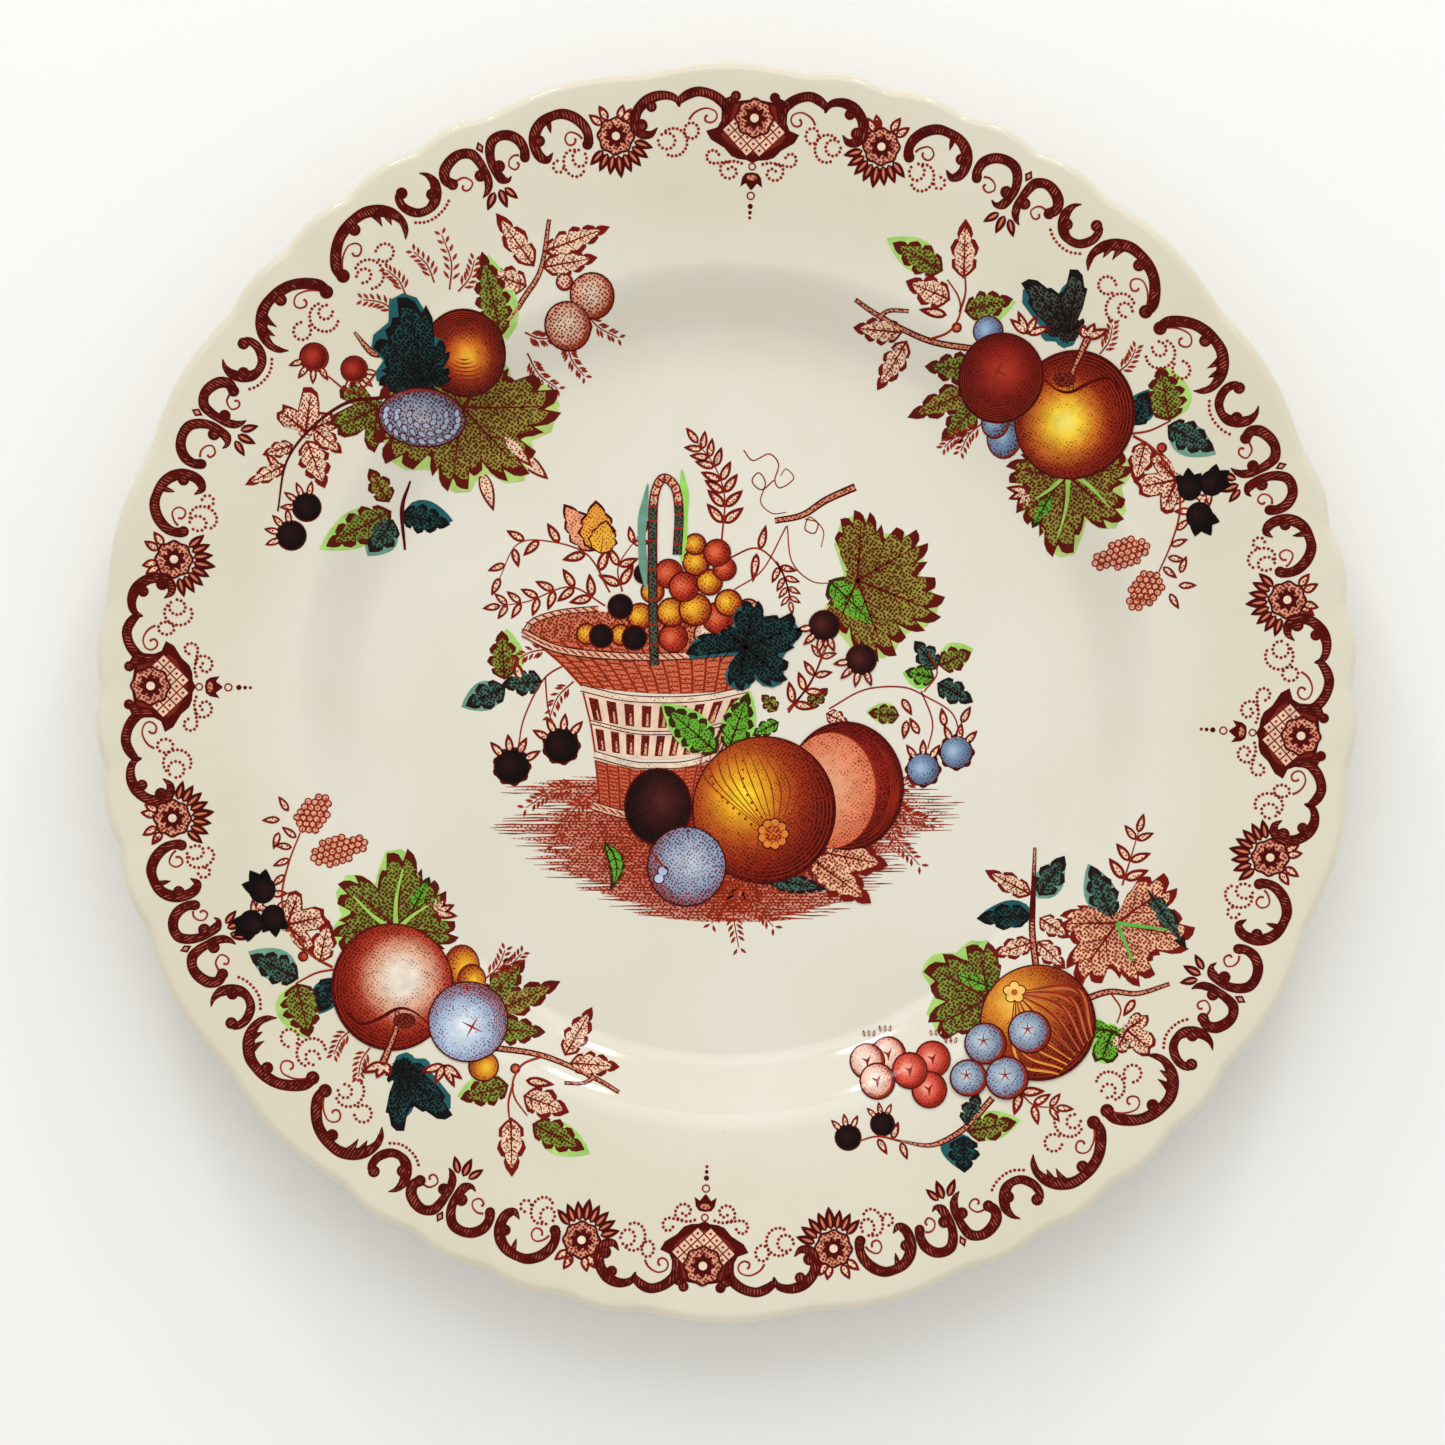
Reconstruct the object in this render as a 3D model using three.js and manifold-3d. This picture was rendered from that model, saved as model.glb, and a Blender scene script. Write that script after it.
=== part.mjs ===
// A china dinner plate with a scalloped rim, lying on its foot ring with its face up.
//
// It is built in the order in which a pottery builds it: a fired clay body with its foot ring, a glaze
// coat that stops at the wiped foot, and the printed and painted transfers that are fired on the glaze.
// Millimetres, +Z up. The origin is the centre of the plane that the foot ring stands on, and +Y is
// the top of the picture in the well.

import * as THREE from "three";
import Module from "manifold-3d";
import { mergeVertices } from "three/addons/utils/BufferGeometryUtils.js";

// Overall size
const PLATE_R = 133.5; // to the crest of a wide scallop
const WELL_R = 76; // the flat floor ends and the shoulder starts to rise
const VERGE_R = 92; // the shoulder has turned into the rim
const FLOOR_Z = 7.2; // the top of the well's floor
const SHOULDER_RISE = 9;
const RIM_SLOPE = 0.185; // rise of the rim per millimetre outwards
const VERGE_SOFTNESS = 8; // the radial width over which the rim's slope comes in

// Wall and foot
const SHOULDER_THICKNESS = 4.6;
const LIP_THICKNESS = 3.6;
const FOOTWELL_Z = 3; // the underside inside the foot ring
const FOOT_OUTER_R = 79; // at the table
const FOOT_INNER_R = 75.2;
const FOOT_FLARE = 0.9; // how far each side of the foot leans out on its way up to the body
const FOOT_TOP_Z = 2.4;
const WIPED_Z = 0.9; // the glaze is wiped off below this height

// Layers
const GLAZE = 0.25;
const FILM = 0.1; // a transfer with its enamels
const GAP = 0.03; // clearance between one layer and the next

// Scallops: 48 equal units round the rim, in six groups of two wide and four narrow lobes
const UNIT = THREE.MathUtils.degToRad(7.5);
const LOBES = [1, 1, 1, 1, 2, 2]; // widths of the lobes in one group, in units
const GROUP_UNITS = 8;
const GROUP_START = -UNIT;
const SCALLOP_DEPTH = 1.25; // how far a notch cuts into the outline
const FLUTE_DEPTH = 0.6; // how far the rim's face dips at a notch
const NARROW_CREST = 0.85; // a narrow lobe's height beside a wide one's
const CREST_POWER = 1.3; // above 1, the notches between the lobes are rounded

// Facets
const SEGMENTS = 96; // two to a unit
const LIP_STEPS = 4;
const FACE_RINGS = [WELL_R, 80, 84, 88, 93, 114];
const UNDERSIDE_RINGS = [80, 84.5, 89, 112];

// Transfers
const CENTRE_R = 56;
const SPRAY_INNER_R = 62;
const BORDER_INNER_R = 112.5;
const BORDER_OUTER_R = 130;
const PENDANT_INNER_R = 100; // the border's pendants reach in to here
const PENDANT_HALF_ANGLE = THREE.MathUtils.degToRad(4);
const BORDER_HALF_ANGLE = THREE.MathUtils.degToRad(44.9); // four borders all but close the circle
const SPRAY_HALF_ANGLE = THREE.MathUtils.degToRad(34);
const SPRAY_MARGIN = 0.4; // between a spray and the border
const BACKSTAMP_R = 14;

const BORDER_TURN = THREE.MathUtils.degToRad(-2.5); // the border is laid a little clockwise of the picture

const QUARTER = Math.PI / 2;

// ---- The shape of the plate ----

// The height of the face at radius r: a flat floor, an S-shaped shoulder and a straight rim.
function faceHeight(r) {
  const shoulder = THREE.MathUtils.smoothstep(r, WELL_R, VERGE_R);
  const out = Math.max(r - (VERGE_R - VERGE_SOFTNESS), 0);
  const ramp = out < VERGE_SOFTNESS ? (out * out) / (2 * VERGE_SOFTNESS) : out - VERGE_SOFTNESS / 2;
  return FLOOR_Z + SHOULDER_RISE * shoulder + RIM_SLOPE * ramp;
}

// The unit normal of the face at radius r, pointing up, as (radial, height).
function faceNormal(r) {
  const h = 0.01;
  const slope = (faceHeight(r + h) - faceHeight(r - h)) / (2 * h);
  return new THREE.Vector2(-slope, 1).normalize();
}

// 0 on the crest of a wide lobe and 1 at a notch.
function notch(angle) {
  let unit = THREE.MathUtils.euclideanModulo((angle - GROUP_START) / UNIT, GROUP_UNITS);
  for (const width of LOBES) {
    if (unit < width) {
      const crest = width > 1 ? 1 : NARROW_CREST;
      return 1 - crest * Math.pow(Math.sin((Math.PI * unit) / width), CREST_POWER);
    }
    unit -= width;
  }
  return 1;
}

// Scallops the outline and flutes the rim of a round geometry, more and more from the verge outwards.
function scalloped(geometry) {
  const at = geometry.getAttribute("position");
  for (let i = 0; i < at.count; i++) {
    const radius = Math.hypot(at.getX(i), at.getY(i));
    const share = Math.max((radius - VERGE_R) / (PLATE_R - VERGE_R), 0) ** 2;
    if (share === 0) continue;
    const depth = share * notch(Math.atan2(at.getY(i), at.getX(i)));
    const scale = 1 - (SCALLOP_DEPTH * depth) / radius;
    at.setXYZ(i, at.getX(i) * scale, at.getY(i) * scale, at.getZ(i) - FLUTE_DEPTH * depth);
  }
  return geometry;
}

// ---- The glazed surfaces, as profiles with the material on the left of their direction of travel ----

function point(r, z) {
  return new THREE.Vector2(r, z);
}

// A point on the foot ring's outer side (side 1) or inner side (side -1) at height z.
function footSide(side, z) {
  const atTable = side > 0 ? FOOT_OUTER_R : FOOT_INNER_R;
  return point(atTable + (side * FOOT_FLARE * z) / FOOT_TOP_Z, z);
}

// The underside of the shoulder and rim, a wall's thickness below the face.
function underside() {
  return UNDERSIDE_RINGS.map((r) => {
    const out = THREE.MathUtils.smoothstep(r, VERGE_R, PLATE_R);
    const wall = THREE.MathUtils.lerp(SHOULDER_THICKNESS, LIP_THICKNESS, out);
    return point(r, faceHeight(r)).addScaledVector(faceNormal(r), -wall);
  });
}

// The rounded lip, from the underside to the face.
function lip() {
  const radius = LIP_THICKNESS / 2;
  const up = faceNormal(PLATE_R);
  const r = PLATE_R - radius * (1 - up.x);
  const centre = point(r, faceHeight(r)).addScaledVector(up, -radius);
  return Array.from({ length: LIP_STEPS + 1 }, (_, i) => {
    const turn = up.angle() - Math.PI + (Math.PI * i) / LIP_STEPS;
    return point(Math.cos(turn), Math.sin(turn)).multiplyScalar(radius).add(centre);
  });
}

function face() {
  return [...FACE_RINGS.map((r) => point(r, faceHeight(r))).reverse(), point(0, FLOOR_Z)];
}

const OUTER_SURFACE = [footSide(1, WIPED_Z), footSide(1, FOOT_TOP_Z), ...underside(), ...lip(), ...face()];
const FOOTWELL_SURFACE = [
  point(0, FOOTWELL_Z),
  point(FOOT_INNER_R - 2 * FOOT_FLARE, FOOTWELL_Z),
  footSide(-1, FOOT_TOP_Z),
  footSide(-1, WIPED_Z),
];

// The normals of a profile's two edges at a point, pointing into the material.
function inwardNormals(points, i) {
  const edges = [
    [points[i - 1], points[i]],
    [points[i], points[i + 1]],
  ];
  return edges
    .filter(([from, to]) => from && to)
    .map(([from, to]) => to.clone().sub(from).normalize())
    .map((along) => point(-along.y, along.x));
}

// A surface moved into the material by a depth, with mitred corners.
function inset(points, depth) {
  return points.map((p, i) => {
    const normals = inwardNormals(points, i);
    const mean = normals.reduce((sum, n) => sum.add(n), point(0, 0)).normalize();
    return p.clone().addScaledVector(mean, depth / mean.dot(normals[0]));
  });
}

// ---- Solids ----

const wasm = await Module();
wasm.setup();

function toSolid(geometry) {
  const bare = geometry.clone();
  bare.deleteAttribute("normal");
  bare.deleteAttribute("uv");
  const merged = mergeVertices(bare, 1e-4);
  const mesh = new wasm.Mesh({
    numProp: 3,
    vertProperties: merged.getAttribute("position").array,
    triVerts: new Uint32Array(merged.index.array),
  });
  return new wasm.Manifold(mesh);
}

function toGeometry(solid) {
  const mesh = solid.getMesh();
  const geometry = new THREE.BufferGeometry();
  geometry.setAttribute("position", new THREE.BufferAttribute(mesh.vertProperties, 3));
  geometry.setIndex(new THREE.BufferAttribute(mesh.triVerts, 1));
  return geometry;
}

// The solid of revolution of a profile about +Z, with the rim's scallops.
function turned(profile) {
  return scalloped(new THREE.LatheGeometry(profile, SEGMENTS).rotateX(Math.PI / 2));
}

function body() {
  const depth = GLAZE + GAP;
  const standingRing = [point(FOOT_INNER_R + depth, 0), point(FOOT_OUTER_R - depth, 0)];
  return turned([...inset(FOOTWELL_SURFACE, depth), ...standingRing, ...inset(OUTER_SURFACE, depth)]);
}

// The coat on the face, round the lip and down to the foot.
function outerCoat() {
  const outside = turned([point(0, WIPED_Z), ...OUTER_SURFACE]);
  const inner = inset(OUTER_SURFACE, GLAZE);
  const inside = turned([point(0, 0), inner[0].clone().setY(0), ...inner]);
  return toGeometry(toSolid(outside).subtract(toSolid(inside)));
}

function footwellCoat() {
  return turned([...FOOTWELL_SURFACE, ...inset(FOOTWELL_SURFACE, GLAZE).reverse()]);
}

// Everything that lies between the underside and a height above the face.
function plateUpTo(height) {
  const top = face().map((p) => p.add(point(0, height)));
  const lipTop = lip()[LIP_STEPS].add(point(0, height));
  return toSolid(turned([point(0, 0), point(lipTop.x, 0), lipTop, ...top]));
}

const FILM_SHELL = plateUpTo(GAP + FILM).subtract(plateUpTo(GAP));

// A transfer: the film on the face within an outline seen from above.
function transfer(outline) {
  const column = new THREE.ExtrudeGeometry(outline, { depth: 40, bevelEnabled: false, curveSegments: 12 });
  return toGeometry(FILM_SHELL.intersect(toSolid(column)));
}

function disc(radius) {
  const outline = new THREE.Shape();
  outline.absarc(0, 0, radius, 0, 2 * Math.PI);
  return outline;
}

function sprayOutline(middle) {
  const outline = new THREE.Shape();
  outline.absarc(0, 0, BORDER_INNER_R - SPRAY_MARGIN, middle - SPRAY_HALF_ANGLE, middle + SPRAY_HALF_ANGLE);
  outline.absarc(0, 0, SPRAY_INNER_R, middle + SPRAY_HALF_ANGLE, middle - SPRAY_HALF_ANGLE, true);
  return outline;
}

// A quarter of the border, with a tongue that carries its pendant.
function borderOutline(middle) {
  const outline = new THREE.Shape();
  const [start, end] = [middle - BORDER_HALF_ANGLE, middle + BORDER_HALF_ANGLE];
  const [tongueStart, tongueEnd] = [middle - PENDANT_HALF_ANGLE, middle + PENDANT_HALF_ANGLE];
  outline.absarc(0, 0, BORDER_OUTER_R, start, end);
  outline.absarc(0, 0, BORDER_INNER_R, end, tongueEnd, true);
  outline.absarc(0, 0, PENDANT_INNER_R, tongueEnd, tongueStart, true);
  outline.absarc(0, 0, BORDER_INNER_R, tongueStart, start, true);
  return outline;
}

// ---- The assembly ----

const clay = new THREE.MeshStandardMaterial({ color: 0xe9dfc9, roughness: 0.85, metalness: 0 });
const glaze = new THREE.MeshStandardMaterial({ color: 0xebe6d6, roughness: 0.12, metalness: 0 });
const ink = new THREE.MeshStandardMaterial({ color: 0x6b1d14, roughness: 0.15, metalness: 0 });
const enamels = new THREE.MeshStandardMaterial({ color: 0xb0572c, roughness: 0.15, metalness: 0 });

const plate = new THREE.Group();

function add(name, geometry, material) {
  const mesh = new THREE.Mesh(geometry, material);
  mesh.name = name;
  plate.add(mesh);
  return mesh;
}

add("biscuit_body", body(), clay);
add("glaze_coat", outerCoat(), glaze);
add("footwell_glaze", footwellCoat(), glaze);
add("centre_transfer", transfer(disc(CENTRE_R)), enamels);
["east", "north", "west", "south"].forEach((side, i) => {
  add(`border_transfer_${side}`, transfer(borderOutline(i * QUARTER + BORDER_TURN)), ink);
});
["ne", "nw", "sw", "se"].forEach((corner, i) => {
  add(`spray_transfer_${corner}`, transfer(sprayOutline((i + 0.5) * QUARTER)), enamels);
});
const backstamp = new THREE.CylinderGeometry(BACKSTAMP_R, BACKSTAMP_R, FILM, 32).rotateX(Math.PI / 2);
add("backstamp_transfer", backstamp, ink).position.z = FOOTWELL_Z - GAP - FILM / 2;

export default plate;
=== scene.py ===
"""The looks of a transfer-printed china dinner plate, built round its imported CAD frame.

The clay body, the glaze and the foot well are turned from the CAD's own formula on a finer grid. Each
transfer is drawn in plan, in millimetres, as closed sheets of ink and of enamel, and is then laid on the
curved face. The lowest sheets stand 0.035 mm over the glaze, and the topmost ones about 0.6 mm.
"""

import math

import bpy
import numpy as np
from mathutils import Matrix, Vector
from mathutils.geometry import delaunay_2d_cdt


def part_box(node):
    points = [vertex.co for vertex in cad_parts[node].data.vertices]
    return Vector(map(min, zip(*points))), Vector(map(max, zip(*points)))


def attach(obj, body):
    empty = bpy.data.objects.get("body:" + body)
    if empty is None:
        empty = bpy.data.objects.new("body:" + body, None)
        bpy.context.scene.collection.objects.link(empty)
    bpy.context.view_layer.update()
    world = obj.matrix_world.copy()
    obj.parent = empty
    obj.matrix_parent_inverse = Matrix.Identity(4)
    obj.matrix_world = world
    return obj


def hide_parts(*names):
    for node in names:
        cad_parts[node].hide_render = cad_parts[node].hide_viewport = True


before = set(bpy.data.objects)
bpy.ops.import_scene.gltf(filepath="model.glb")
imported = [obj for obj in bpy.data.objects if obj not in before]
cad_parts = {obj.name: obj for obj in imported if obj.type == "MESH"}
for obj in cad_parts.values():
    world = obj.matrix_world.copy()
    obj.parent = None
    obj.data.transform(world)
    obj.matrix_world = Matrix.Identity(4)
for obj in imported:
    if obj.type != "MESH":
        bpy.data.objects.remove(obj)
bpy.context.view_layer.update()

MM = 0.001
TAU = 2 * math.pi

# ---- The plate's shape, as in the CAD, in millimetres ----

GAP = 0.03
PLATE_R = max(v.co.xy.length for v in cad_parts["glaze_coat"].data.vertices) / MM
FLOOR_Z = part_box("centre_transfer")[0].z / MM - GAP
FOOTWELL_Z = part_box("backstamp_transfer")[1].z / MM + GAP
WELL_R = 76
VERGE_R = 92
SHOULDER_RISE = 9
RIM_SLOPE = 0.185
VERGE_SOFTNESS = 8
SHOULDER_THICKNESS = 4.6
LIP_THICKNESS = 3.6
FOOT_OUTER_R = 79
FOOT_INNER_R = 75.2
FOOT_FLARE = 0.9
FOOT_TOP_Z = 2.4
FOOT_EDGE = 0.5
FOOT_EDGE_Z = 0.35
WELL_CORNER_R = 0.9
WIPED_Z = 0.9
GLAZE = 0.25
UNIT = math.radians(7.5)
LOBES = (1, 1, 1, 1, 2, 2)
GROUP_UNITS = 8
GROUP_START = -UNIT
SCALLOP_DEPTH = 1.25
FLUTE_DEPTH = 0.6
NARROW_CREST = 0.85
CREST_POWER = 1.3

# Steps round each turned piece: the scalloped ones need the most.
COAT_STEPS = 768
BODY_STEPS = 384
WELL_STEPS = 192


def face_height(r):
    """The height of the round face, before it is scalloped, at radius r."""
    t = np.clip((r - WELL_R) / (VERGE_R - WELL_R), 0, 1)
    out = np.maximum(r - (VERGE_R - VERGE_SOFTNESS), 0)
    ramp = np.where(out < VERGE_SOFTNESS, out**2 / (2 * VERGE_SOFTNESS), out - VERGE_SOFTNESS / 2)
    return FLOOR_Z + SHOULDER_RISE * t * t * (3 - 2 * t) + RIM_SLOPE * ramp


def notch(angle):
    """0 on the crest of a wide lobe and 1 at a notch."""
    unit = np.mod((angle - GROUP_START) / UNIT, GROUP_UNITS)
    result = np.ones_like(unit)
    start = 0
    for width in LOBES:
        crest = 1 if width > 1 else NARROW_CREST
        along = np.clip((unit - start) / width, 0, 1)
        wave = 1 - crest * np.abs(np.sin(np.pi * along)) ** CREST_POWER
        result = np.where((unit >= start) & (unit < start + width), wave, result)
        start += width
    return result


def scallop_share(r):
    """How much of the scallop's depth is reached at radius r, from 0 at the verge to 1 at the edge."""
    return np.maximum((r - VERGE_R) / (PLATE_R - VERGE_R), 0) ** 2


def scalloped(points):
    """Points of the round plate, with the outline scalloped and the rim fluted."""
    radius = np.maximum(np.hypot(points[:, 0], points[:, 1]), 1e-9)
    depth = scallop_share(radius) * notch(np.arctan2(points[:, 1], points[:, 0]))
    scale = 1 - SCALLOP_DEPTH * depth / radius
    return np.c_[points[:, :2] * scale[:, None], points[:, 2] - FLUTE_DEPTH * depth]


def face_z(x, y):
    """The height of the finished face above a point of the plan."""
    radius, dip = np.hypot(x, y), notch(np.arctan2(y, x))
    source = radius
    for _ in range(3):
        source = radius + SCALLOP_DEPTH * scallop_share(source) * dip
    return face_height(source) - FLUTE_DEPTH * scallop_share(source) * dip


def face_normals(plan):
    """Unit normals of the finished face above points of the plan."""
    h = 0.05
    x, y = plan.T
    dx = (face_z(x + h, y) - face_z(x - h, y)) / (2 * h)
    dy = (face_z(x, y + h) - face_z(x, y - h)) / (2 * h)
    normals = np.c_[-dx, -dy, np.ones(len(plan))]
    return normals / np.linalg.norm(normals, axis=1, keepdims=True)


# ---- Colours and materials ----


def srgb(*rgb):
    """A linear colour from 0 to 255 display values."""
    c = np.array(rgb) / 255
    return np.where(c <= 0.04045, c / 12.92, ((c + 0.055) / 1.055) ** 2.4)


INK = srgb(80, 6, 2)
FINE_INK = srgb(146, 38, 12)
FINE_WIDTH = 0.75
CREAM = srgb(229, 224, 205)

# The rim's painted shade, a darker and yellower cream, comes in between two radii, in metres. The other
# lengths are in millimetres.
RIM_PAINTED_SHADE = (0.94, 0.918, 0.862)
RIM_PAINTED_SHADE_REACH = (0.088, 0.106)
PRINT_REFLECT = 0.08
BORDER_R = 123
HATCH_PITCH = 0.62
STIPPLE_PITCH = 0.72
STIPPLE_TURN = (0, 0, 0.6)
STIPPLE_INK = (0.36, 0.055, 0.035)


class Nodes:
    """A short way to write a material's node tree."""

    def __init__(self, name):
        self.material = bpy.data.materials.new(name)
        self.material.use_nodes = True
        self.tree = self.material.node_tree
        self.shader = self.tree.nodes["Principled BSDF"]
        self.place = self.add("ShaderNodeTexCoord").outputs["Object"]

    def add(self, kind, inputs=None, **settings):
        node = self.tree.nodes.new(kind)
        for key, value in settings.items():
            setattr(node, key, value)
        for key, value in (inputs or {}).items():
            self.set(node.inputs[key], value)
        return node

    def set(self, socket, value):
        if isinstance(value, bpy.types.NodeSocket):
            self.tree.links.new(value, socket)
        elif socket.type == "RGBA":
            socket.default_value = (*value, 1)
        else:
            socket.default_value = value

    def noise(self, size, detail=2.0, vector=None):
        """Noise with features of about size millimetres, from 0 to 1."""
        inputs = {"Vector": vector or self.place, "Scale": 1 / (size * MM), "Detail": detail}
        return self.add("ShaderNodeTexNoise", inputs).outputs["Fac"]

    def maths(self, operation, a, b=0.0, clamp=False):
        node = self.add("ShaderNodeMath", operation=operation, use_clamp=clamp)
        self.set(node.inputs[0], a)
        self.set(node.inputs[1], b)
        return node.outputs[0]

    def ramp(self, value, low, high, out_low=0.0, out_high=1.0):
        inputs = {"Value": value, "From Min": low, "From Max": high, "To Min": out_low, "To Max": out_high}
        return self.add("ShaderNodeMapRange", inputs).outputs["Result"]

    def mix(self, share, a, b, blend="MIX"):
        node = self.add("ShaderNodeMix", data_type="RGBA", blend_type=blend)
        self.set(node.inputs[0], share)
        self.set(node.inputs[6], a)
        self.set(node.inputs[7], b)
        return node.outputs[2]

    def grey(self, value):
        parts = {"Red": value, "Green": value, "Blue": value}
        return self.add("ShaderNodeCombineColor", parts).outputs[0]

    def attribute(self, name, output):
        return self.add("ShaderNodeAttribute", attribute_name=name).outputs[output]

    def finish(self, colour, roughness, height=None, bump_mm=0.0, reflect=0.5):
        self.set(self.shader.inputs["Base Color"], colour)
        self.set(self.shader.inputs["Specular IOR Level"], reflect)
        self.set(self.shader.inputs["Roughness"], roughness)
        if height is not None:
            bump = self.add("ShaderNodeBump", {"Height": height, "Distance": bump_mm * MM, "Strength": 1.0})
            self.set(self.shader.inputs["Normal"], bump.outputs["Normal"])
        return self.material


def glaze_material():
    """Glossy cream with faint clouds and iron specks, and painted shade that makes the rim a little darker
    and yellower.
    """
    n = Nodes("cream_glaze")
    cloud = n.ramp(n.noise(38, 3), 0.35, 0.65)
    colour = n.mix(cloud, srgb(228, 223, 205), srgb(232, 228, 213))
    speck = n.add("ShaderNodeTexVoronoi", {"Vector": n.place, "Scale": 1 / (7 * MM), "Randomness": 1.0})
    spot = n.ramp(speck.outputs["Distance"], 0.012, 0.03, 1, 0)
    chance = n.add("ShaderNodeSeparateColor", {"Color": speck.outputs["Color"]}).outputs["Red"]
    iron = n.maths("MULTIPLY", spot, n.maths("GREATER_THAN", chance, 0.8))
    colour = n.mix(n.maths("MULTIPLY", iron, 0.55), colour, srgb(150, 120, 88))
    plan = n.add("ShaderNodeVectorMath", {0: n.place, 1: (1, 1, 0)}, operation="MULTIPLY").outputs["Vector"]
    out = n.add("ShaderNodeVectorMath", {0: plan}, operation="LENGTH").outputs["Value"]
    # Painted shade: the rim is made darker and yellower than the well, standing in for how light falls on it.
    rim = n.ramp(out, *RIM_PAINTED_SHADE_REACH, 0, 1)
    colour = n.mix(rim, colour, n.mix(1.0, colour, RIM_PAINTED_SHADE, "MULTIPLY"))
    roughness = n.ramp(n.noise(9, 2), 0.3, 0.7, 0.07, 0.12)
    peel = n.noise(4.5, 1)
    return n.finish(colour, roughness, peel, 0.006)


def biscuit_material():
    """Bare fired clay with a fine grain and some dirt."""
    n = Nodes("bare_biscuit")
    grain = n.noise(0.5, 3)
    colour = n.mix(n.ramp(grain, 0.35, 0.7), srgb(208, 192, 160), srgb(232, 222, 198))
    dirt = n.ramp(n.noise(6, 3), 0.55, 0.75)
    colour = n.mix(n.maths("MULTIPLY", dirt, 0.45), colour, srgb(140, 118, 88))
    return n.finish(colour, 0.82, grain, 0.05)


def hatched(n, pitch, wobble):
    """A wave of fine lines that point at the plate's centre, from -1 to 1, with this pitch on the border."""
    turn = n.add("ShaderNodeTexGradient", {"Vector": n.place}, gradient_type="RADIAL").outputs["Fac"]
    wander = n.maths("MULTIPLY", n.noise(2.2, 1), wobble)
    phase = n.maths("ADD", n.maths("MULTIPLY", turn, TAU * BORDER_R / pitch), wander)
    return n.maths("SINE", n.maths("MULTIPLY", phase, TAU))


def ink_material():
    """Each stroke's own ink, uneven in strength, and hatched with light lines where the tone is high."""
    n = Nodes("printing_ink")
    strength = n.grey(n.ramp(n.noise(3, 3), 0.35, 0.68, 0.8, 1.25))
    colour = n.mix(1.0, n.attribute("tint", "Color"), strength, "MULTIPLY")
    heart = n.ramp(n.attribute("tone", "Fac"), 0.3, 0.6)
    lines = n.ramp(hatched(n, HATCH_PITCH, 1.1), 0.25, 0.85)
    patches = n.ramp(n.noise(1.6, 2), 0.45, 0.62)
    share = n.maths("MULTIPLY", n.maths("MULTIPLY", lines, heart), n.maths("MULTIPLY", patches, 0.66))
    colour = n.mix(share, colour, srgb(206, 112, 84))
    return n.finish(colour, n.ramp(n.noise(5, 2), 0.3, 0.7, 0.09, 0.15), reflect=PRINT_REFLECT)


def enamel_material():
    """Each shape's own tint under stippled ink, whose dots grow with the tone and then run together."""
    n = Nodes("tinted_print")
    tint = n.attribute("tint", "Color")
    tone = n.attribute("tone", "Fac")
    wash = n.grey(n.ramp(n.noise(2.6, 4), 0.3, 0.7, 0.84, 1.12))
    colour = n.mix(1.0, tint, wash, "MULTIPLY")
    grid = n.add("ShaderNodeMapping", {"Vector": n.place, "Rotation": STIPPLE_TURN}).outputs["Vector"]
    dots = n.add(
        "ShaderNodeTexVoronoi",
        {"Vector": grid, "Scale": 1 / (STIPPLE_PITCH * MM), "Randomness": 0.55},
        voronoi_dimensions="2D",
    ).outputs["Distance"]
    uneven = n.maths("ADD", tone, n.ramp(n.noise(1.8, 2), 0.3, 0.7, -0.12, 0.12))
    root = n.maths("SQRT", n.maths("MAXIMUM", uneven, 0.0))
    reach = n.maths("MINIMUM", n.maths("MULTIPLY", root, 0.6), 0.4)
    shade = n.ramp(uneven, 0.42, 0.95, 0, 0.8)
    colour = n.mix(shade, colour, n.mix(1.0, colour, STIPPLE_INK, "MULTIPLY"))
    dot = n.ramp(n.maths("SUBTRACT", dots, reach), -0.06, 0.06, 1, 0)
    dot = n.maths("MULTIPLY", dot, n.maths("GREATER_THAN", tone, 0.02))
    colour = n.mix(dot, colour, n.mix(1.0, colour, STIPPLE_INK, "MULTIPLY"))
    return n.finish(colour, n.ramp(n.noise(4, 2), 0.3, 0.7, 0.08, 0.14), reflect=PRINT_REFLECT)


GLAZE_MATERIAL = glaze_material()
BISCUIT_MATERIAL = biscuit_material()
INK_MATERIAL = ink_material()
ENAMEL_MATERIAL = enamel_material()

# ---- Meshes ----


def add_piece(name, mesh, material, nodes):
    """A finished piece that stands for these CAD nodes."""
    mesh.materials.append(material)
    piece = bpy.data.objects.new(name, mesh)
    bpy.context.scene.collection.objects.link(piece)
    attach(piece, "root")
    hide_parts(*nodes)
    return piece


def turned(name, profile, segments):
    """The solid of revolution of a closed profile, or of one that starts and ends on the axis."""
    profile = np.asarray(profile, float)
    turns = np.arange(segments) * TAU / segments
    rings = [
        np.c_[r * np.cos(turns), r * np.sin(turns), np.full(segments, z)] if r > 0 else [[0, 0, z]]
        for r, z in profile
    ]
    starts = np.cumsum([0] + [len(ring) for ring in rings])
    points = scalloped(np.vstack(rings))
    faces = []
    count = len(profile)
    for i in range(count):
        j = (i + 1) % count
        a, b = starts[i], starts[j]
        for k in range(segments):
            m = (k + 1) % segments
            if len(rings[i]) == 1 == len(rings[j]):
                break
            if len(rings[i]) == 1:
                faces.append((a, b + m, b + k))
            elif len(rings[j]) == 1:
                faces.append((a + k, a + m, b))
            else:
                faces.append((a + k, a + m, b + m, b + k))
    mesh = bpy.data.meshes.new(name)
    mesh.from_pydata(points * MM, [], faces)
    mesh.shade_smooth()
    return mesh


def section_normal(r):
    """The unit normal of the round face at radius r, as (r, z)."""
    h = 0.01
    slope = (face_height(r + h) - face_height(r - h)) / (2 * h)
    normal = np.array([-slope, 1.0])
    return normal / np.linalg.norm(normal)


def foot_side(side, z):
    """A point on the foot's outer side, with side 1, or its inner side, with side -1."""
    at_table = FOOT_OUTER_R if side > 0 else FOOT_INNER_R
    return (at_table + side * FOOT_FLARE * z / FOOT_TOP_Z, z)


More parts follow.
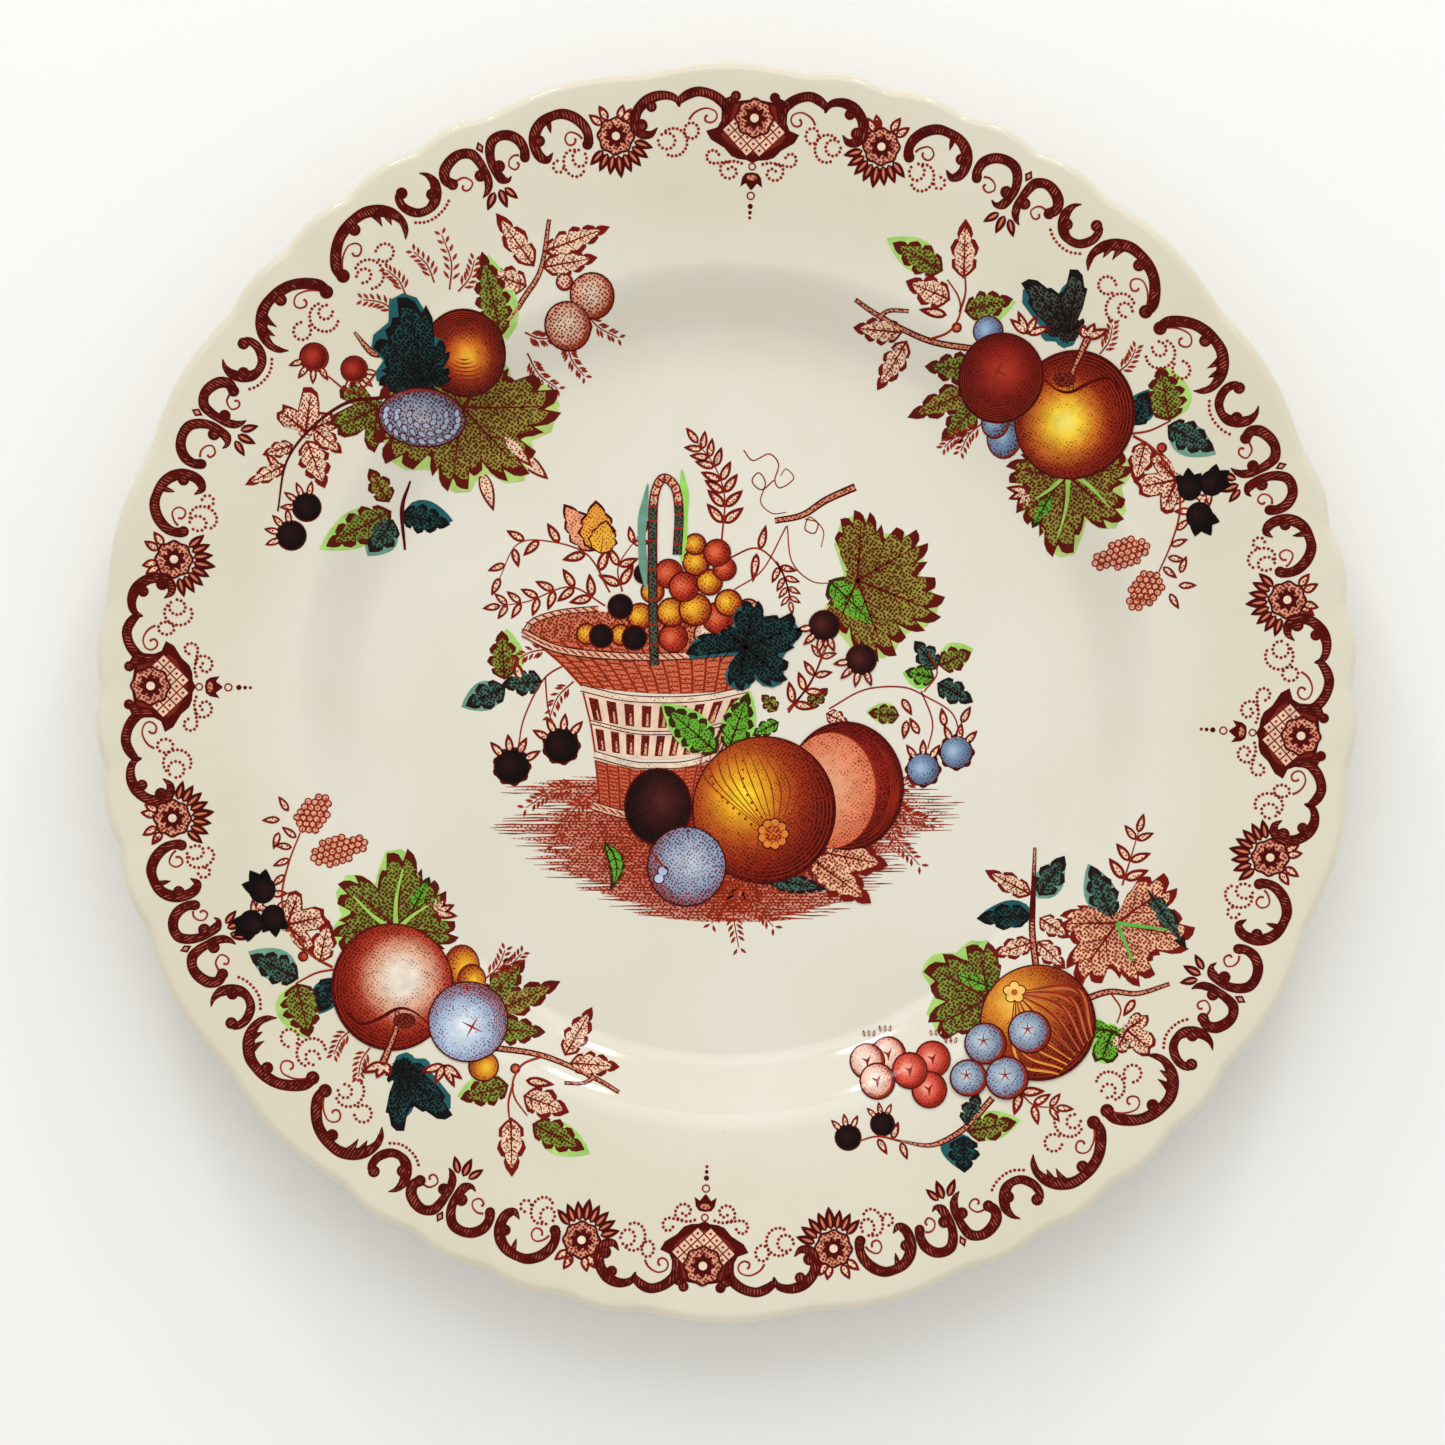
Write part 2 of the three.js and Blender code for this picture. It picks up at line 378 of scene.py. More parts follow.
def underside(rings):
    """The lower surface at these radii, a wall's thickness below the face."""
    points = []
    for r in rings:
        t = np.clip((r - VERGE_R) / (PLATE_R - VERGE_R), 0, 1)
        wall = SHOULDER_THICKNESS + (LIP_THICKNESS - SHOULDER_THICKNESS) * t * t * (3 - 2 * t)
        points.append(np.array([r, face_height(r)]) - wall * section_normal(r))
    return points


def lip(steps):
    """The half round that joins the underside to the face."""
    radius = LIP_THICKNESS / 2
    up = section_normal(PLATE_R)
    r = PLATE_R - radius * (1 - up[0])
    centre = np.array([r, face_height(r)]) - radius * up
    turns = math.atan2(up[1], up[0]) - math.pi + np.linspace(0, math.pi, steps + 1)
    return [centre + radius * np.array([math.cos(t), math.sin(t)]) for t in turns]


def rounded_foot(steps):
    """The glazed side of the foot and its soft junction with the underside."""
    corner = np.array(foot_side(1, FOOT_TOP_Z))
    low, high = corner - (0, 0.8), (corner + underside([80])[0]) / 2
    bend = [(1 - t) ** 2 * low + 2 * t * (1 - t) * corner + t * t * high for t in np.linspace(0, 1, steps)]
    return [foot_side(1, WIPED_Z), *bend]


def outer_surface():
    """The glazed profile from the wiped foot, round the underside and the lip, to the middle of the face."""
    rim = np.linspace(131, VERGE_R, 22)[1:]
    shoulder = np.linspace(VERGE_R, WELL_R, 24)[1:]
    return [
        *rounded_foot(6),
        *underside([80, 81.5, 83, 84.5, 86, 88, 90, 93, 98, 104, 110, 116, 122]),
        *lip(12),
        *[np.array([r, face_height(r)]) for r in (*rim, *shoulder, 60, 30)],
        np.array([0, FLOOR_Z]),
    ]


def inset(points, depth):
    """A profile moved into the material, which lies on the left of its direction of travel."""
    points = np.asarray(points, float)
    along = np.gradient(points, axis=0)
    along /= np.linalg.norm(along, axis=1, keepdims=True)
    moved = points + depth * np.c_[-along[:, 1], along[:, 0]]
    moved[points[:, 0] == 0, 0] = 0
    return moved


def foot_well():
    """The glazed profile inside the foot ring, from the middle to the wiped foot."""
    corner = np.array([FOOT_INNER_R - FOOT_FLARE - WELL_CORNER_R, FOOTWELL_Z])
    turns = np.linspace(0, 1.2, 5)
    fillet = [corner + WELL_CORNER_R * np.array([math.sin(t), math.cos(t) - 1]) for t in turns]
    return np.array([(0, FOOTWELL_Z), (40, FOOTWELL_Z), *fillet, foot_side(-1, WIPED_Z)])


def build_plate():
    """The glaze, the foot well's glaze and the clay body."""
    coat, well = outer_surface(), foot_well()

    within = inset(coat, GLAZE)
    section = np.vstack([coat, within[-1:], within[:-1:2][::-1]])
    mesh = turned("glaze_coat_fine", section, COAT_STEPS)
    add_piece("glaze_coat_fine", mesh, GLAZE_MATERIAL, ["glaze_coat"])

    section = np.vstack([well, inset(well, GLAZE)[::-1]])
    mesh = turned("footwell_glaze_fine", section, WELL_STEPS)
    add_piece("footwell_glaze_fine", mesh, GLAZE_MATERIAL, ["footwell_glaze"])

    foot = [
        foot_side(-1, FOOT_EDGE_Z),
        (FOOT_INNER_R + FOOT_EDGE, 0),
        (FOOT_OUTER_R - FOOT_EDGE, 0),
        foot_side(1, FOOT_EDGE_Z),
    ]
    section = np.vstack([inset(well, GLAZE + GAP), foot, inset(coat, GLAZE + GAP)])
    mesh = turned("biscuit_body_fine", section, BODY_STEPS)
    add_piece("biscuit_body_fine", mesh, BISCUIT_MATERIAL, ["biscuit_body"])


# ---- Drawing ----

# A sheet's height over the glaze is the base lift and one step for each level of its transfer. All of
# these are in millimetres but for the share and the nudges, which count levels.
BASE_LIFT = 0.035
LEVEL_STEP = 0.008
SHOULDER_STEP = 0.04
BORDER_STEP = 0.03
SUB_SHARE = 0.25
NUDGE = 0.12
NUDGE_LIMIT = 0.72
SUNK = -0.03

# Where the face bends most, as two radii, and how far apart the points of a sheet may be there
SHOULDER_BAND = (74, 94)
SHOULDER_PITCH = 0.8

COARSE = 4  # a grid pitch that leaves a small shape without inner points

INSIDE_ONLY = 1  # delaunay_2d_cdt's output type that leaves out triangles outside the outline
NO_AREA = 1e-9


class Sheet:
    """The closed prisms of one colour layer, gathered in plan and laid on the face at the end."""

    def __init__(self):
        self.plan, self.lift, self.tint, self.tone, self.faces = [], [], [], [], []
        self.count = 0

    def prism(self, plan, faces, lift, tint, tone):
        """A sheet with these faces, counter-clockwise from above, closed down to just under the glaze."""
        n, base = len(plan), self.count
        edges = [(f[i - 1], f[i]) for f in faces for i in range(len(f))]
        known = set(edges)
        self.faces += [[base + i for i in f] for f in faces]
        self.faces += [[base + n + i for i in reversed(f)] for f in faces]
        outer = [(base + a, base + b) for a, b in edges if (b, a) not in known]
        self.faces += [[a, a + n, b + n, b] for a, b in outer]
        self.plan += [plan, plan]
        self.lift += [np.full(n, lift), np.full(n, SUNK)]
        self.tint += [np.broadcast_to(tint, (n, 3))] * 2
        self.tone += [np.broadcast_to(tone, n)] * 2
        self.count += 2 * n

    def mesh(self, name, points):
        """The sheets with these points, in millimetres, each with its tint and tone."""
        mesh = bpy.data.meshes.new(name)
        mesh.from_pydata(points * MM, [], self.faces)
        colours = np.c_[np.vstack(self.tint), np.ones(self.count)].astype(np.float32)
        tint = mesh.attributes.new("tint", "FLOAT_COLOR", "POINT")
        tint.data.foreach_set("color", colours.ravel())
        tone = mesh.attributes.new("tone", "FLOAT", "POINT")
        tone.data.foreach_set("value", np.concatenate(self.tone).astype(np.float32))
        return mesh

    def on_face(self, name, turn, spread):
        """The sheets laid on the plate's face, turned by some degrees and spread from its middle."""
        c, s = math.cos(math.radians(turn)), math.sin(math.radians(turn))
        plan = np.vstack(self.plan) * spread @ np.array([[c, s], [-s, c]])
        mesh = self.mesh(name, np.c_[plan, face_z(*plan.T) + np.concatenate(self.lift)])
        mesh.shade_smooth()
        mesh.normals_split_custom_set_from_vertices(face_normals(plan))
        return mesh

    def under_foot_well(self, name):
        """The sheets hung upside down under the foot well, to be read from below."""
        plan = np.vstack(self.plan) * (-1, 1)
        return self.mesh(name, np.c_[plan, FOOTWELL_Z - GAP - np.concatenate(self.lift)])


def spline(points, steps=6, closed=False):
    """A smooth curve through the points."""
    p = np.asarray(points, float)
    p = np.vstack([p[-1], p, p[:2]]) if closed else np.vstack([2 * p[0] - p[1], p, 2 * p[-1] - p[-2]])
    t = np.linspace(0, 1, steps, endpoint=False)[:, None]
    spans = [
        0.5 * (2 * b + (c - a) * t + (2 * a - 5 * b + 4 * c - d) * t**2 + (3 * b - a - 3 * c + d) * t**3)
        for a, b, c, d in zip(p, p[1:], p[2:], p[3:])
    ]
    curve = np.vstack(spans)
    return curve if closed else np.vstack([curve, p[-2]])


def ring(centre, rx, ry=None, count=24):
    """The corners of a closed circle or oval."""
    turns = np.arange(count) * TAU / count
    return np.asarray(centre) + np.c_[rx * np.cos(turns), (ry or rx) * np.sin(turns)]


def arc(centre, rx, ry, from_deg, to_deg, count=14):
    """Points along part of an oval."""
    turns = np.radians(np.linspace(from_deg, to_deg, count))
    return np.asarray(centre) + np.c_[rx * np.cos(turns), ry * np.sin(turns)]


def towards(point, bearing, distance):
    """The point at a distance along a bearing, in degrees counter-clockwise from +X."""
    a = math.radians(bearing)
    return np.array([point[0] + distance * math.cos(a), point[1] + distance * math.sin(a)])


def bearing_of(way):
    """The bearing of a vector, in degrees counter-clockwise from +X."""
    return math.degrees(math.atan2(way[1], way[0]))


def distances_along(path):
    """How far each point is from the start of its path."""
    return np.r_[0, np.cumsum(np.linalg.norm(np.diff(path, axis=0), axis=1))]


def points_along(path, distances):
    """Points at these distances along a path."""
    gone = distances_along(path)
    return np.column_stack([np.interp(distances, gone, path[:, i]) for i in (0, 1)])


def inside(points, outline):
    """Which points lie inside a closed outline."""
    x, y = points.T
    hits = np.zeros(len(points), bool)
    for (x0, y0), (x1, y1) in zip(outline, np.roll(outline, -1, axis=0)):
        crosses = (y0 > y) != (y1 > y)
        with np.errstate(divide="ignore", invalid="ignore"):
            hits ^= crosses & (x < x0 + (x1 - x0) * (y - y0) / (y1 - y0))
    return hits


def on_shoulder(points):
    """Which points lie where the face bends most."""
    radius = np.hypot(*np.transpose(points))
    return (radius > SHOULDER_BAND[0]) & (radius < SHOULDER_BAND[1])


def spread_along(values, at):
    """The values at fractional places in their list."""
    return np.interp(at, np.arange(len(values)), values)


def refined(path):
    """The path with extra points where the face bends most."""
    pieces = []
    for a, b in zip(path, np.roll(path, -1, axis=0)):
        count = int(np.linalg.norm(b - a) / SHOULDER_PITCH) + 1 if on_shoulder([a, b]).any() else 1
        pieces.append(a + (b - a) * (np.arange(count) / count)[:, None])
    return np.vstack(pieces)


def lattice(outline, pitch):
    """Points inside an outline, on one triangular grid, so that sheets over one another bend alike."""
    row = pitch * math.sqrt(3) / 2
    (x0, y0), (x1, y1) = outline.min(0), outline.max(0)
    ys = np.arange(math.ceil(y0 / row), y1 / row)
    xs = np.arange(math.floor(x0 / pitch), x1 / pitch)
    gx, gy = np.meshgrid(xs, ys)
    grid = np.c_[(gx + 0.5 * (gy % 2)).ravel() * pitch, gy.ravel() * row]
    if not len(grid):
        return grid
    near = np.min(np.linalg.norm(grid[:, None] - outline[None], axis=2), axis=1) < pitch * 0.4
    return grid[inside(grid, outline) & ~near]


def triangulated(outline, pitch):
    """Points and triangles that fill an outline, with grid points this far apart or closer."""
    outline = refined(outline)
    grid = lattice(outline, pitch)
    if pitch > SHOULDER_PITCH and on_shoulder(outline).any():
        fine = lattice(outline, SHOULDER_PITCH)
        grid = np.vstack([grid[~on_shoulder(grid)], fine[on_shoulder(fine)]])
    points = [Vector(p) for p in np.vstack([outline, grid])]
    border = [list(range(len(outline)))]
    verts, _, faces, *_ = delaunay_2d_cdt(points, [], border, INSIDE_ONLY, 1e-6)
    plan = np.array([tuple(v) for v in verts])
    kept = []
    for a, b, c in faces:
        (x0, y0), (x1, y1), (x2, y2) = plan[a], plan[b], plan[c]
        area = (x1 - x0) * (y2 - y0) - (x2 - x0) * (y1 - y0)
        if abs(area) > NO_AREA:
            kept.append((a, b, c) if area > 0 else (a, c, b))
    return plan, kept


def ink_for(width):
    """Broad strokes are printed darker than fine ones."""
    return INK if np.max(width) > FINE_WIDTH else FINE_INK


def flat(colour, tone=0.0):
    """One colour with one density of stippled ink."""
    return lambda plan: (colour, tone)


class Print:
    """A transfer that is being drawn. level says what lies over what."""

    def __init__(self, step=LEVEL_STEP):
        self.ink, self.enamel = Sheet(), Sheet()
        self.level = 0.0
        self.nudge = 0.0
        self.step = step

    def lift(self, sub):
        """How far over the glaze a sheet lies."""
        return BASE_LIFT + self.step * (self.level + self.nudge + SUB_SHARE * sub)

    def next_leaf(self):
        """Moves on by a little, so that leaves that cross seldom share a height."""
        self.nudge = (self.nudge + NUDGE) % NUDGE_LIMIT

    def fill(self, outline, paint, sub=1, pitch=1.8):
        """An enamel shape. sub says what lies over what within a level."""
        plan, faces = triangulated(np.asarray(outline, float), pitch)
        if faces:
            tint, tone = paint(plan)
            self.enamel.prism(plan, faces, self.lift(sub), tint, tone)

    def line(self, path, width, sub=3, hatched=False, paint=None):
        """A stroke along a path, with a width or with widths spread along it. hatched is for a broad one."""
        p = np.asarray(path, float)
        width = np.ravel(width)
        half = np.interp(np.linspace(0, 1, len(p)), np.linspace(0, 1, len(width)), width) / 2
        if on_shoulder(p).any():
            steps = np.linalg.norm(np.diff(p, axis=0), axis=1) // SHOULDER_PITCH + 1
            at = np.concatenate([i + np.arange(k) / k for i, k in enumerate(steps)] + [[len(p) - 1]])
            p = np.column_stack([spread_along(p[:, 0], at), spread_along(p[:, 1], at)])
            half = spread_along(half, at)
        n = len(p)
        along = np.gradient(p, axis=0)
        along /= np.maximum(np.linalg.norm(along, axis=1, keepdims=True), 1e-9)
        side = np.c_[-along[:, 1], along[:, 0]] * half[:, None]
        spans = range(n - 1)
        if hatched:
            plan = np.vstack([p + side, p - side, p])
            faces = [(n + i, n + i + 1, 2 * n + i + 1, 2 * n + i) for i in spans]
            faces += [(2 * n + i, 2 * n + i + 1, i + 1, i) for i in spans]
            tone = np.r_[np.zeros(2 * n), np.minimum(half * 1.6, 1)]
        else:
            plan = np.vstack([p + side, p - side])
            faces = [(n + i, n + i + 1, i + 1, i) for i in spans]
            tone = 0.0
        if paint:
            self.enamel.prism(plan, faces, self.lift(sub), *paint(plan))
        else:
            self.ink.prism(plan, faces, self.lift(sub), ink_for(width), tone)

    def stem(self, points, width):
        """A smooth inked stroke through the points."""
        self.line(spline(points), width)

    def dot(self, centre, radius, sub=3, sides=8):
        """A round spot of ink."""
        faces = [tuple(range(sides))]
        self.ink.prism(ring(centre, radius, count=sides), faces, self.lift(sub), ink_for(2 * radius), 0.0)

    def ball(self, centre, radius, sides=18):
        """A broad round dot with a hatched heart."""
        plan = np.vstack([ring(centre, radius, count=sides), [centre]])
        faces = [(i, (i + 1) % sides, sides) for i in range(sides)]
        self.ink.prism(plan, faces, self.lift(4), INK, np.r_[np.zeros(sides), 1])

    def hoop(self, centre, radius, count, width=0.32):
        """A circle drawn as a line."""
        circle = ring(centre, radius, count=count)
        self.line(np.vstack([circle, circle[:2]]), width)

    def beads(self, path, pitch, first, last=None):
        """Dots along a path, whose radius runs from first to last."""
        length = distances_along(path)[-1]
        count = max(int(length / pitch), 2)
        for i, centre in enumerate(points_along(path, np.linspace(0, length, count))):
            self.dot(centre, first + ((last or first) - first) * i / (count - 1), sides=7)

    def build(self, name, node, turn=0.0, spread=1.0):
        """Two pieces on the plate's face: the ink and the enamels, each with its own fixed material."""
        lines, tints = name + "_lines", name + "_tints"
        add_piece(lines, self.ink.on_face(lines, turn, spread), INK_MATERIAL, [node])
        add_piece(tints, self.enamel.on_face(tints, turn, spread), ENAMEL_MATERIAL, [node])


# ---- Leaves ----

# Each leaf colour is its tint, how dense its stipple is, and the ink of its silhouette.
LEAVES = {
    "pink": (srgb(240, 208, 176), 0.22, srgb(118, 20, 10)),
    "green": (srgb(128, 144, 56), 0.34, srgb(92, 22, 10)),
    "lime": (srgb(98, 172, 50), 0.16, srgb(56, 38, 12)),
    "olive": (srgb(150, 144, 62), 0.36, srgb(96, 18, 8)),
    "rust": (srgb(238, 190, 152), 0.34, srgb(118, 20, 10)),
    "teal": (srgb(62, 102, 90), 0.36, srgb(34, 20, 18)),
    "dark": (srgb(30, 70, 70), 0.46, srgb(18, 15, 16)),
    "smoke": (srgb(72, 94, 84), 0.56, srgb(22, 16, 16)),
}
# The colours of the washes that were laid a little beside their leaf.
SLIPS = {
    "green": srgb(170, 214, 112),
    "olive": srgb(180, 208, 116),
    "lime": srgb(150, 214, 92),
    "teal": srgb(108, 156, 136),
    "dark": srgb(34, 92, 98),
    "smoke": srgb(34, 92, 98),
}


def engraved(tint, tone, root, tip, width):
    """A leaf's tint, with its stipple thickest at the root and along the line to the tip."""
    length = np.linalg.norm(tip - root)
    axis = (tip - root) / length

    def paint(plan):
        x, y = (plan - root).T
        along = np.clip((x * axis[0] + y * axis[1]) / length, 0, 1)
        across = np.clip(np.abs(y * axis[0] - x * axis[1]) / (width / 2), 0, 1)
        return tint, tone * (1.9 - 0.7 * along - 1.2 * across)

    return paint


def leaf_outline(base, tip, width, teeth=0, bite=0.0, bend=0.0, start=0.0, end=1.0):
    """A leaf's outline, or the stretch of it from start to end. bite says how deep its teeth are."""
    base, tip = np.asarray(base, float), np.asarray(tip, float)
    axis = tip - base
    across = np.array([-axis[1], axis[0]])
    length = np.linalg.norm(axis)

    def half(s):
        return width / 2 * math.sin(math.pi * s**0.75) ** 0.85

    def point(s, out):
        return base + axis * s + across * (out / length + bend * 4 * s * (1 - s))

    if teeth:
        # Each tooth has a notch, a rising edge, a bulge and a tip, as (place, depth).
        parts = ((0.0, bite), (0.22, bite * 0.3), (0.55, -0.06), (0.95, 0.1))
        stations = [(k + part) / teeth for k in range(teeth) for part, _ in parts][1:]
        depths = [depth for k in range(teeth) for _, depth in parts][1:]
    else:
        stations = np.linspace(0, 1, 9)[1:-1]
        depths = [0.0] * len(stations)
    span = end - start
    sides = [(start + span * s, half(min(s, 1.0)) * (1 - d)) for s, d in zip(stations, depths)]
    left = [point(s, out) for s, out in sides]
    right = [point(s, -out) for s, out in reversed(sides)]
    return np.array([point(start, 0), *left, point(end, 0), *right])


def leaf(p, base, tip, width, colour="pink", teeth=4, bend=0.0, veins=3, slip=None):
    """A toothed leaf with inked tips, a stippled heart and veins. slip is how far its wash lies off."""
    tint, tone, edge = LEAVES[colour]
    p.next_leaf()
    base, tip = np.asarray(base, float), np.asarray(tip, float)
    length = np.linalg.norm(tip - base)
    if slip:
        wash = leaf_outline(base + slip, tip + slip, width * 1.05, bend=bend)
        p.fill(wash, flat(SLIPS[colour]), sub=0)
    p.fill(leaf_outline(base, tip, width, teeth, 0.42, bend), flat(edge), sub=1, pitch=2.5)
    heart = leaf_outline(base, tip, width * 0.72, teeth, 0.2, bend, 0.05, 0.86)
    p.fill(heart, engraved(tint, tone, base, tip, width * 0.72), sub=2, pitch=1.1)
    if not veins:
        return
    axis = (tip - base) / length
    across = np.array([-axis[1], axis[0]])
    at = np.linspace(0, 0.9, 8)
    middle = np.array([base + axis * length * s + across * bend * length * 4 * s * (1 - s) for s in at])
    p.line(middle, (0.46, 0.34, 0.16), paint=flat(edge))
    for k in range(veins):
        s = 0.14 + 0.6 * k / veins
        root = np.array([np.interp(s, at, middle[:, i]) for i in (0, 1)])
        reach = width * 0.36 * math.sin(math.pi * min(s + 0.15, 1) ** 0.75)
        for side in (1, -1):
            p.line([root, root + axis * reach * 0.7 + across * side * reach], (0.3, 0.1), paint=flat(edge))


def leaflet(p, base, bearing, length, width=None):
    """A small plain leaf: an inked outline with a light heart."""
    width = width or length * 0.42
    tip = towards(base, bearing, length)
    tint, _, edge = LEAVES["pink"]
    p.fill(leaf_outline(base, tip, width), flat(edge), sub=1, pitch=COARSE)
    heart = leaf_outline(base, tip, width * 0.46, start=0.14, end=0.74)
    p.fill(heart, flat(tint, 0.2), sub=2, pitch=COARSE)


def leaflets(p, length, width, *places):
    """Leaflets of one size at places given as (base, bearing)."""
    for base, bearing in places:
        leaflet(p, base, bearing, length, width)


def leaflet_fan(p, base, width, *rays):
    """Leaflets from one point, given as (bearing, length)."""
    for bearing, length in rays:
        leaflet(p, base, bearing, length, width)


def round_engraved(centre, radius, tint, tone):
    """A broad leaf's tint, with its stipple thickest round the stalk."""
    return lambda plan: (tint, tone * (2.1 - 1.5 * np.linalg.norm(plan - centre, axis=1) / radius))


def vine_outline(centre, radius, heading, lobes, teeth, notch_reach, tip_reach):
    """Lobes, given as (bearing, height, half spread), with their teeth between the two reaches."""
    turns = np.linspace(-168, 168, teeth * 4 + 1)  # The stalk comes in through the gap.
    reach = np.full(len(turns), 0.16)
    for bearing, height, spread in lobes:
        away = np.clip(np.abs(turns - bearing) / spread, 0, 1)
        reach = np.maximum(reach, height * np.cos(away * math.pi / 2) ** 0.5)
    part = np.arange(len(turns)) % 4
    saw = np.choose(part, (0.0, 0.55, 0.8, 1.0))
    angles = np.radians(turns + heading + np.where(part == 3, 1.5, 0.0))
    r = radius * reach * (notch_reach + (tip_reach - notch_reach) * saw)
    return np.asarray(centre) + np.c_[r * np.cos(angles), r * np.sin(angles)]


IVY = ((0, 1.0, 46), (-75, 0.72, 48), (75, 0.72, 48))
MAPLE = ((0, 1.0, 34), (-58, 0.82, 34), (58, 0.82, 34))


def vine(p, centre, radius, heading, colour, lobes, teeth, slip=None):
    """A broad lobed leaf round the point where its stalk joins it."""
    tint, tone, edge = LEAVES[colour]
    centre = np.asarray(centre, float)
    p.next_leaf()
    if slip:
        wash = vine_outline(centre + slip, radius, heading, lobes, 9, 0.9, 0.97)
        p.fill(wash, flat(SLIPS[colour]), sub=0)
    p.fill(vine_outline(centre, radius, heading, lobes, teeth, 0.82, 1.0), flat(edge), sub=1, pitch=2.5)
    heart = vine_outline(centre, radius, heading, lobes, teeth, 0.74, 0.87)
    p.fill(heart, round_engraved(centre, radius, tint, tone), sub=2, pitch=1.2)
    for bearing, height, _ in lobes:
        tip = towards(centre, heading + bearing, radius * height * 0.84)
        p.line(spline([centre, centre * 0.5 + tip * 0.5, tip], 4), (0.62, 0.42, 0.16), paint=flat(edge))
        for s in (0.3, 0.5, 0.7):
            root = centre * (1 - s) + tip * s
            for side in (38, -38):
                end = towards(root, heading + bearing + side, radius * height * 0.3 * (1.2 - s))
                p.line([root, end], (0.34, 0.1), paint=flat(edge))


def sprig(p, path, pairs, length, spread=48, both=True):
    """A stem with leaflets along it, in pairs or by turns, and one at its tip."""
    curve = spline(path, 8)
    p.line(curve, (0.416, 0.192))
    for i, s in enumerate(np.linspace(0.15, 0.93, pairs)):
        k = min(int(s * (len(curve) - 1)), len(curve) - 2)
        bearing = bearing_of(curve[k + 1] - curve[k])
        sides = (1, -1) if both else ((1,) if i % 2 else (-1,))
        for side in sides:
            leaflet(p, curve[k], bearing + side * spread, length * (1.08 - 0.35 * s))
    leaflet(p, curve[-1], bearing_of(curve[-1] - curve[-2]), length * 0.8)


def fern(p, base, bearing, length, hairs=6, hair=1.7):
    """A fine stem with short strokes like a comb on both sides."""
    middle = towards(base, bearing - 12, length / 2)
    curve = spline([base, middle, towards(base, bearing, length)])
    last = len(curve) - 1
    p.line(curve, (0.38, 0.2))
    for i in range(hairs):
        k = 2 + int(i * (last - 2) / (hairs - 1))
        at = bearing_of(curve[min(k + 1, last)] - curve[min(k, last - 1)])
        size = hair * (1.1 - 0.4 * i / hairs)
        for side in (1, -1):
            root = towards(curve[k], at + side * 50, size * 0.3)
            tip = towards(root, at + side * 42, size)
            p.line([root, root * 0.5 + tip * 0.5, tip], (0.2, 0.68, 0.16))


def twig(p, path, widths):
    """A woody stem: two inked edges with a stippled band between."""
    curve = spline(path)
    p.line(curve, widths, sub=2)
    p.line(curve, np.multiply(widths, 0.5), paint=flat(srgb(208, 140, 108), 0.3))


# ---- Fruit ----


def shaded(centre, rx, ry, stops, light=(-0.18, 0.1), tones=(0.0, 0.5)):
    """Colours, and stipple that thickens, from a lit spot to the far edge of a round fruit."""
    places = np.linspace(0, 1, len(stops))
    furthest = 1 + math.hypot(*light)

    def paint(plan):
        q = (plan - centre) / (rx, ry) - light
        d = np.clip(np.linalg.norm(q, axis=1) / furthest, 0, 1)
        tint = np.column_stack([np.interp(d, places, stops[:, i]) for i in range(3)])
        return tint, tones[0] + (tones[1] - tones[0]) * d**2

    return paint


def shades(*colours):
    """A fruit's colours, from its lit spot to its far edge."""
    return np.array([srgb(*colour) for colour in colours])


APPLE = shades((255, 240, 120), (252, 210, 60), (214, 122, 36), (152, 44, 20), (104, 20, 11), (78, 10, 6))
ROSY = shades((240, 230, 214), (238, 222, 204), (226, 172, 142), (182, 66, 42), (136, 28, 16), (96, 14, 8))
RED_PLUM = shades((180, 62, 44), (166, 46, 32), (138, 30, 21), (102, 16, 12), (76, 9, 7))
BLUE_PLUM = shades((232, 238, 242), (208, 220, 234), (176, 196, 222), (146, 160, 190), (122, 104, 120))
MELON = shades((240, 196, 78), (214, 134, 42), (168, 72, 27), (122, 38, 20), (88, 18, 11))
ORANGE = shades((255, 232, 60), (238, 174, 38), (194, 96, 30), (158, 52, 21), (116, 26, 13), (84, 14, 8))
DARK_PLUM = shades((86, 34, 30), (62, 22, 19), (40, 13, 12), (24, 8, 7))
BLACK = shades((44, 18, 20), (26, 9, 10), (14, 5, 6))
YELLOW_GRAPE = shades((250, 208, 66), (232, 160, 38), (190, 98, 32), (132, 48, 22))
RED_GRAPE = shades((234, 130, 84), (210, 82, 48), (166, 44, 28), (112, 22, 16))
PALE_FRUIT = shades((240, 220, 196), (234, 202, 174), (220, 162, 132), (188, 106, 80))
BLUEBERRY_BLOOM = shades((212, 220, 222), (178, 194, 208), (146, 166, 190), (120, 130, 156), (104, 84, 94))
BLUE_BERRY = shades((168, 192, 214), (134, 160, 190), (104, 124, 156), (84, 80, 100))
BROAD_BERRY = shades((190, 192, 200), (160, 168, 186), (130, 142, 168), (104, 100, 120))
RIPE = shades((252, 204, 60), (228, 124, 40), (150, 46, 22), (88, 20, 12), (60, 10, 6))
BLUSH_CHERRY = shades((250, 238, 226), (246, 222, 206), (232, 172, 150), (176, 70, 52))
RED_CHERRY = shades((248, 186, 166), (232, 108, 86), (194, 56, 42), (128, 24, 16))
PEACH_CHEEK = shades((240, 176, 138), (232, 144, 104), (214, 104, 70))
PALE_PLUM = shades((196, 204, 216), (176, 188, 206), (156, 170, 194), (132, 146, 176), (112, 108, 130))


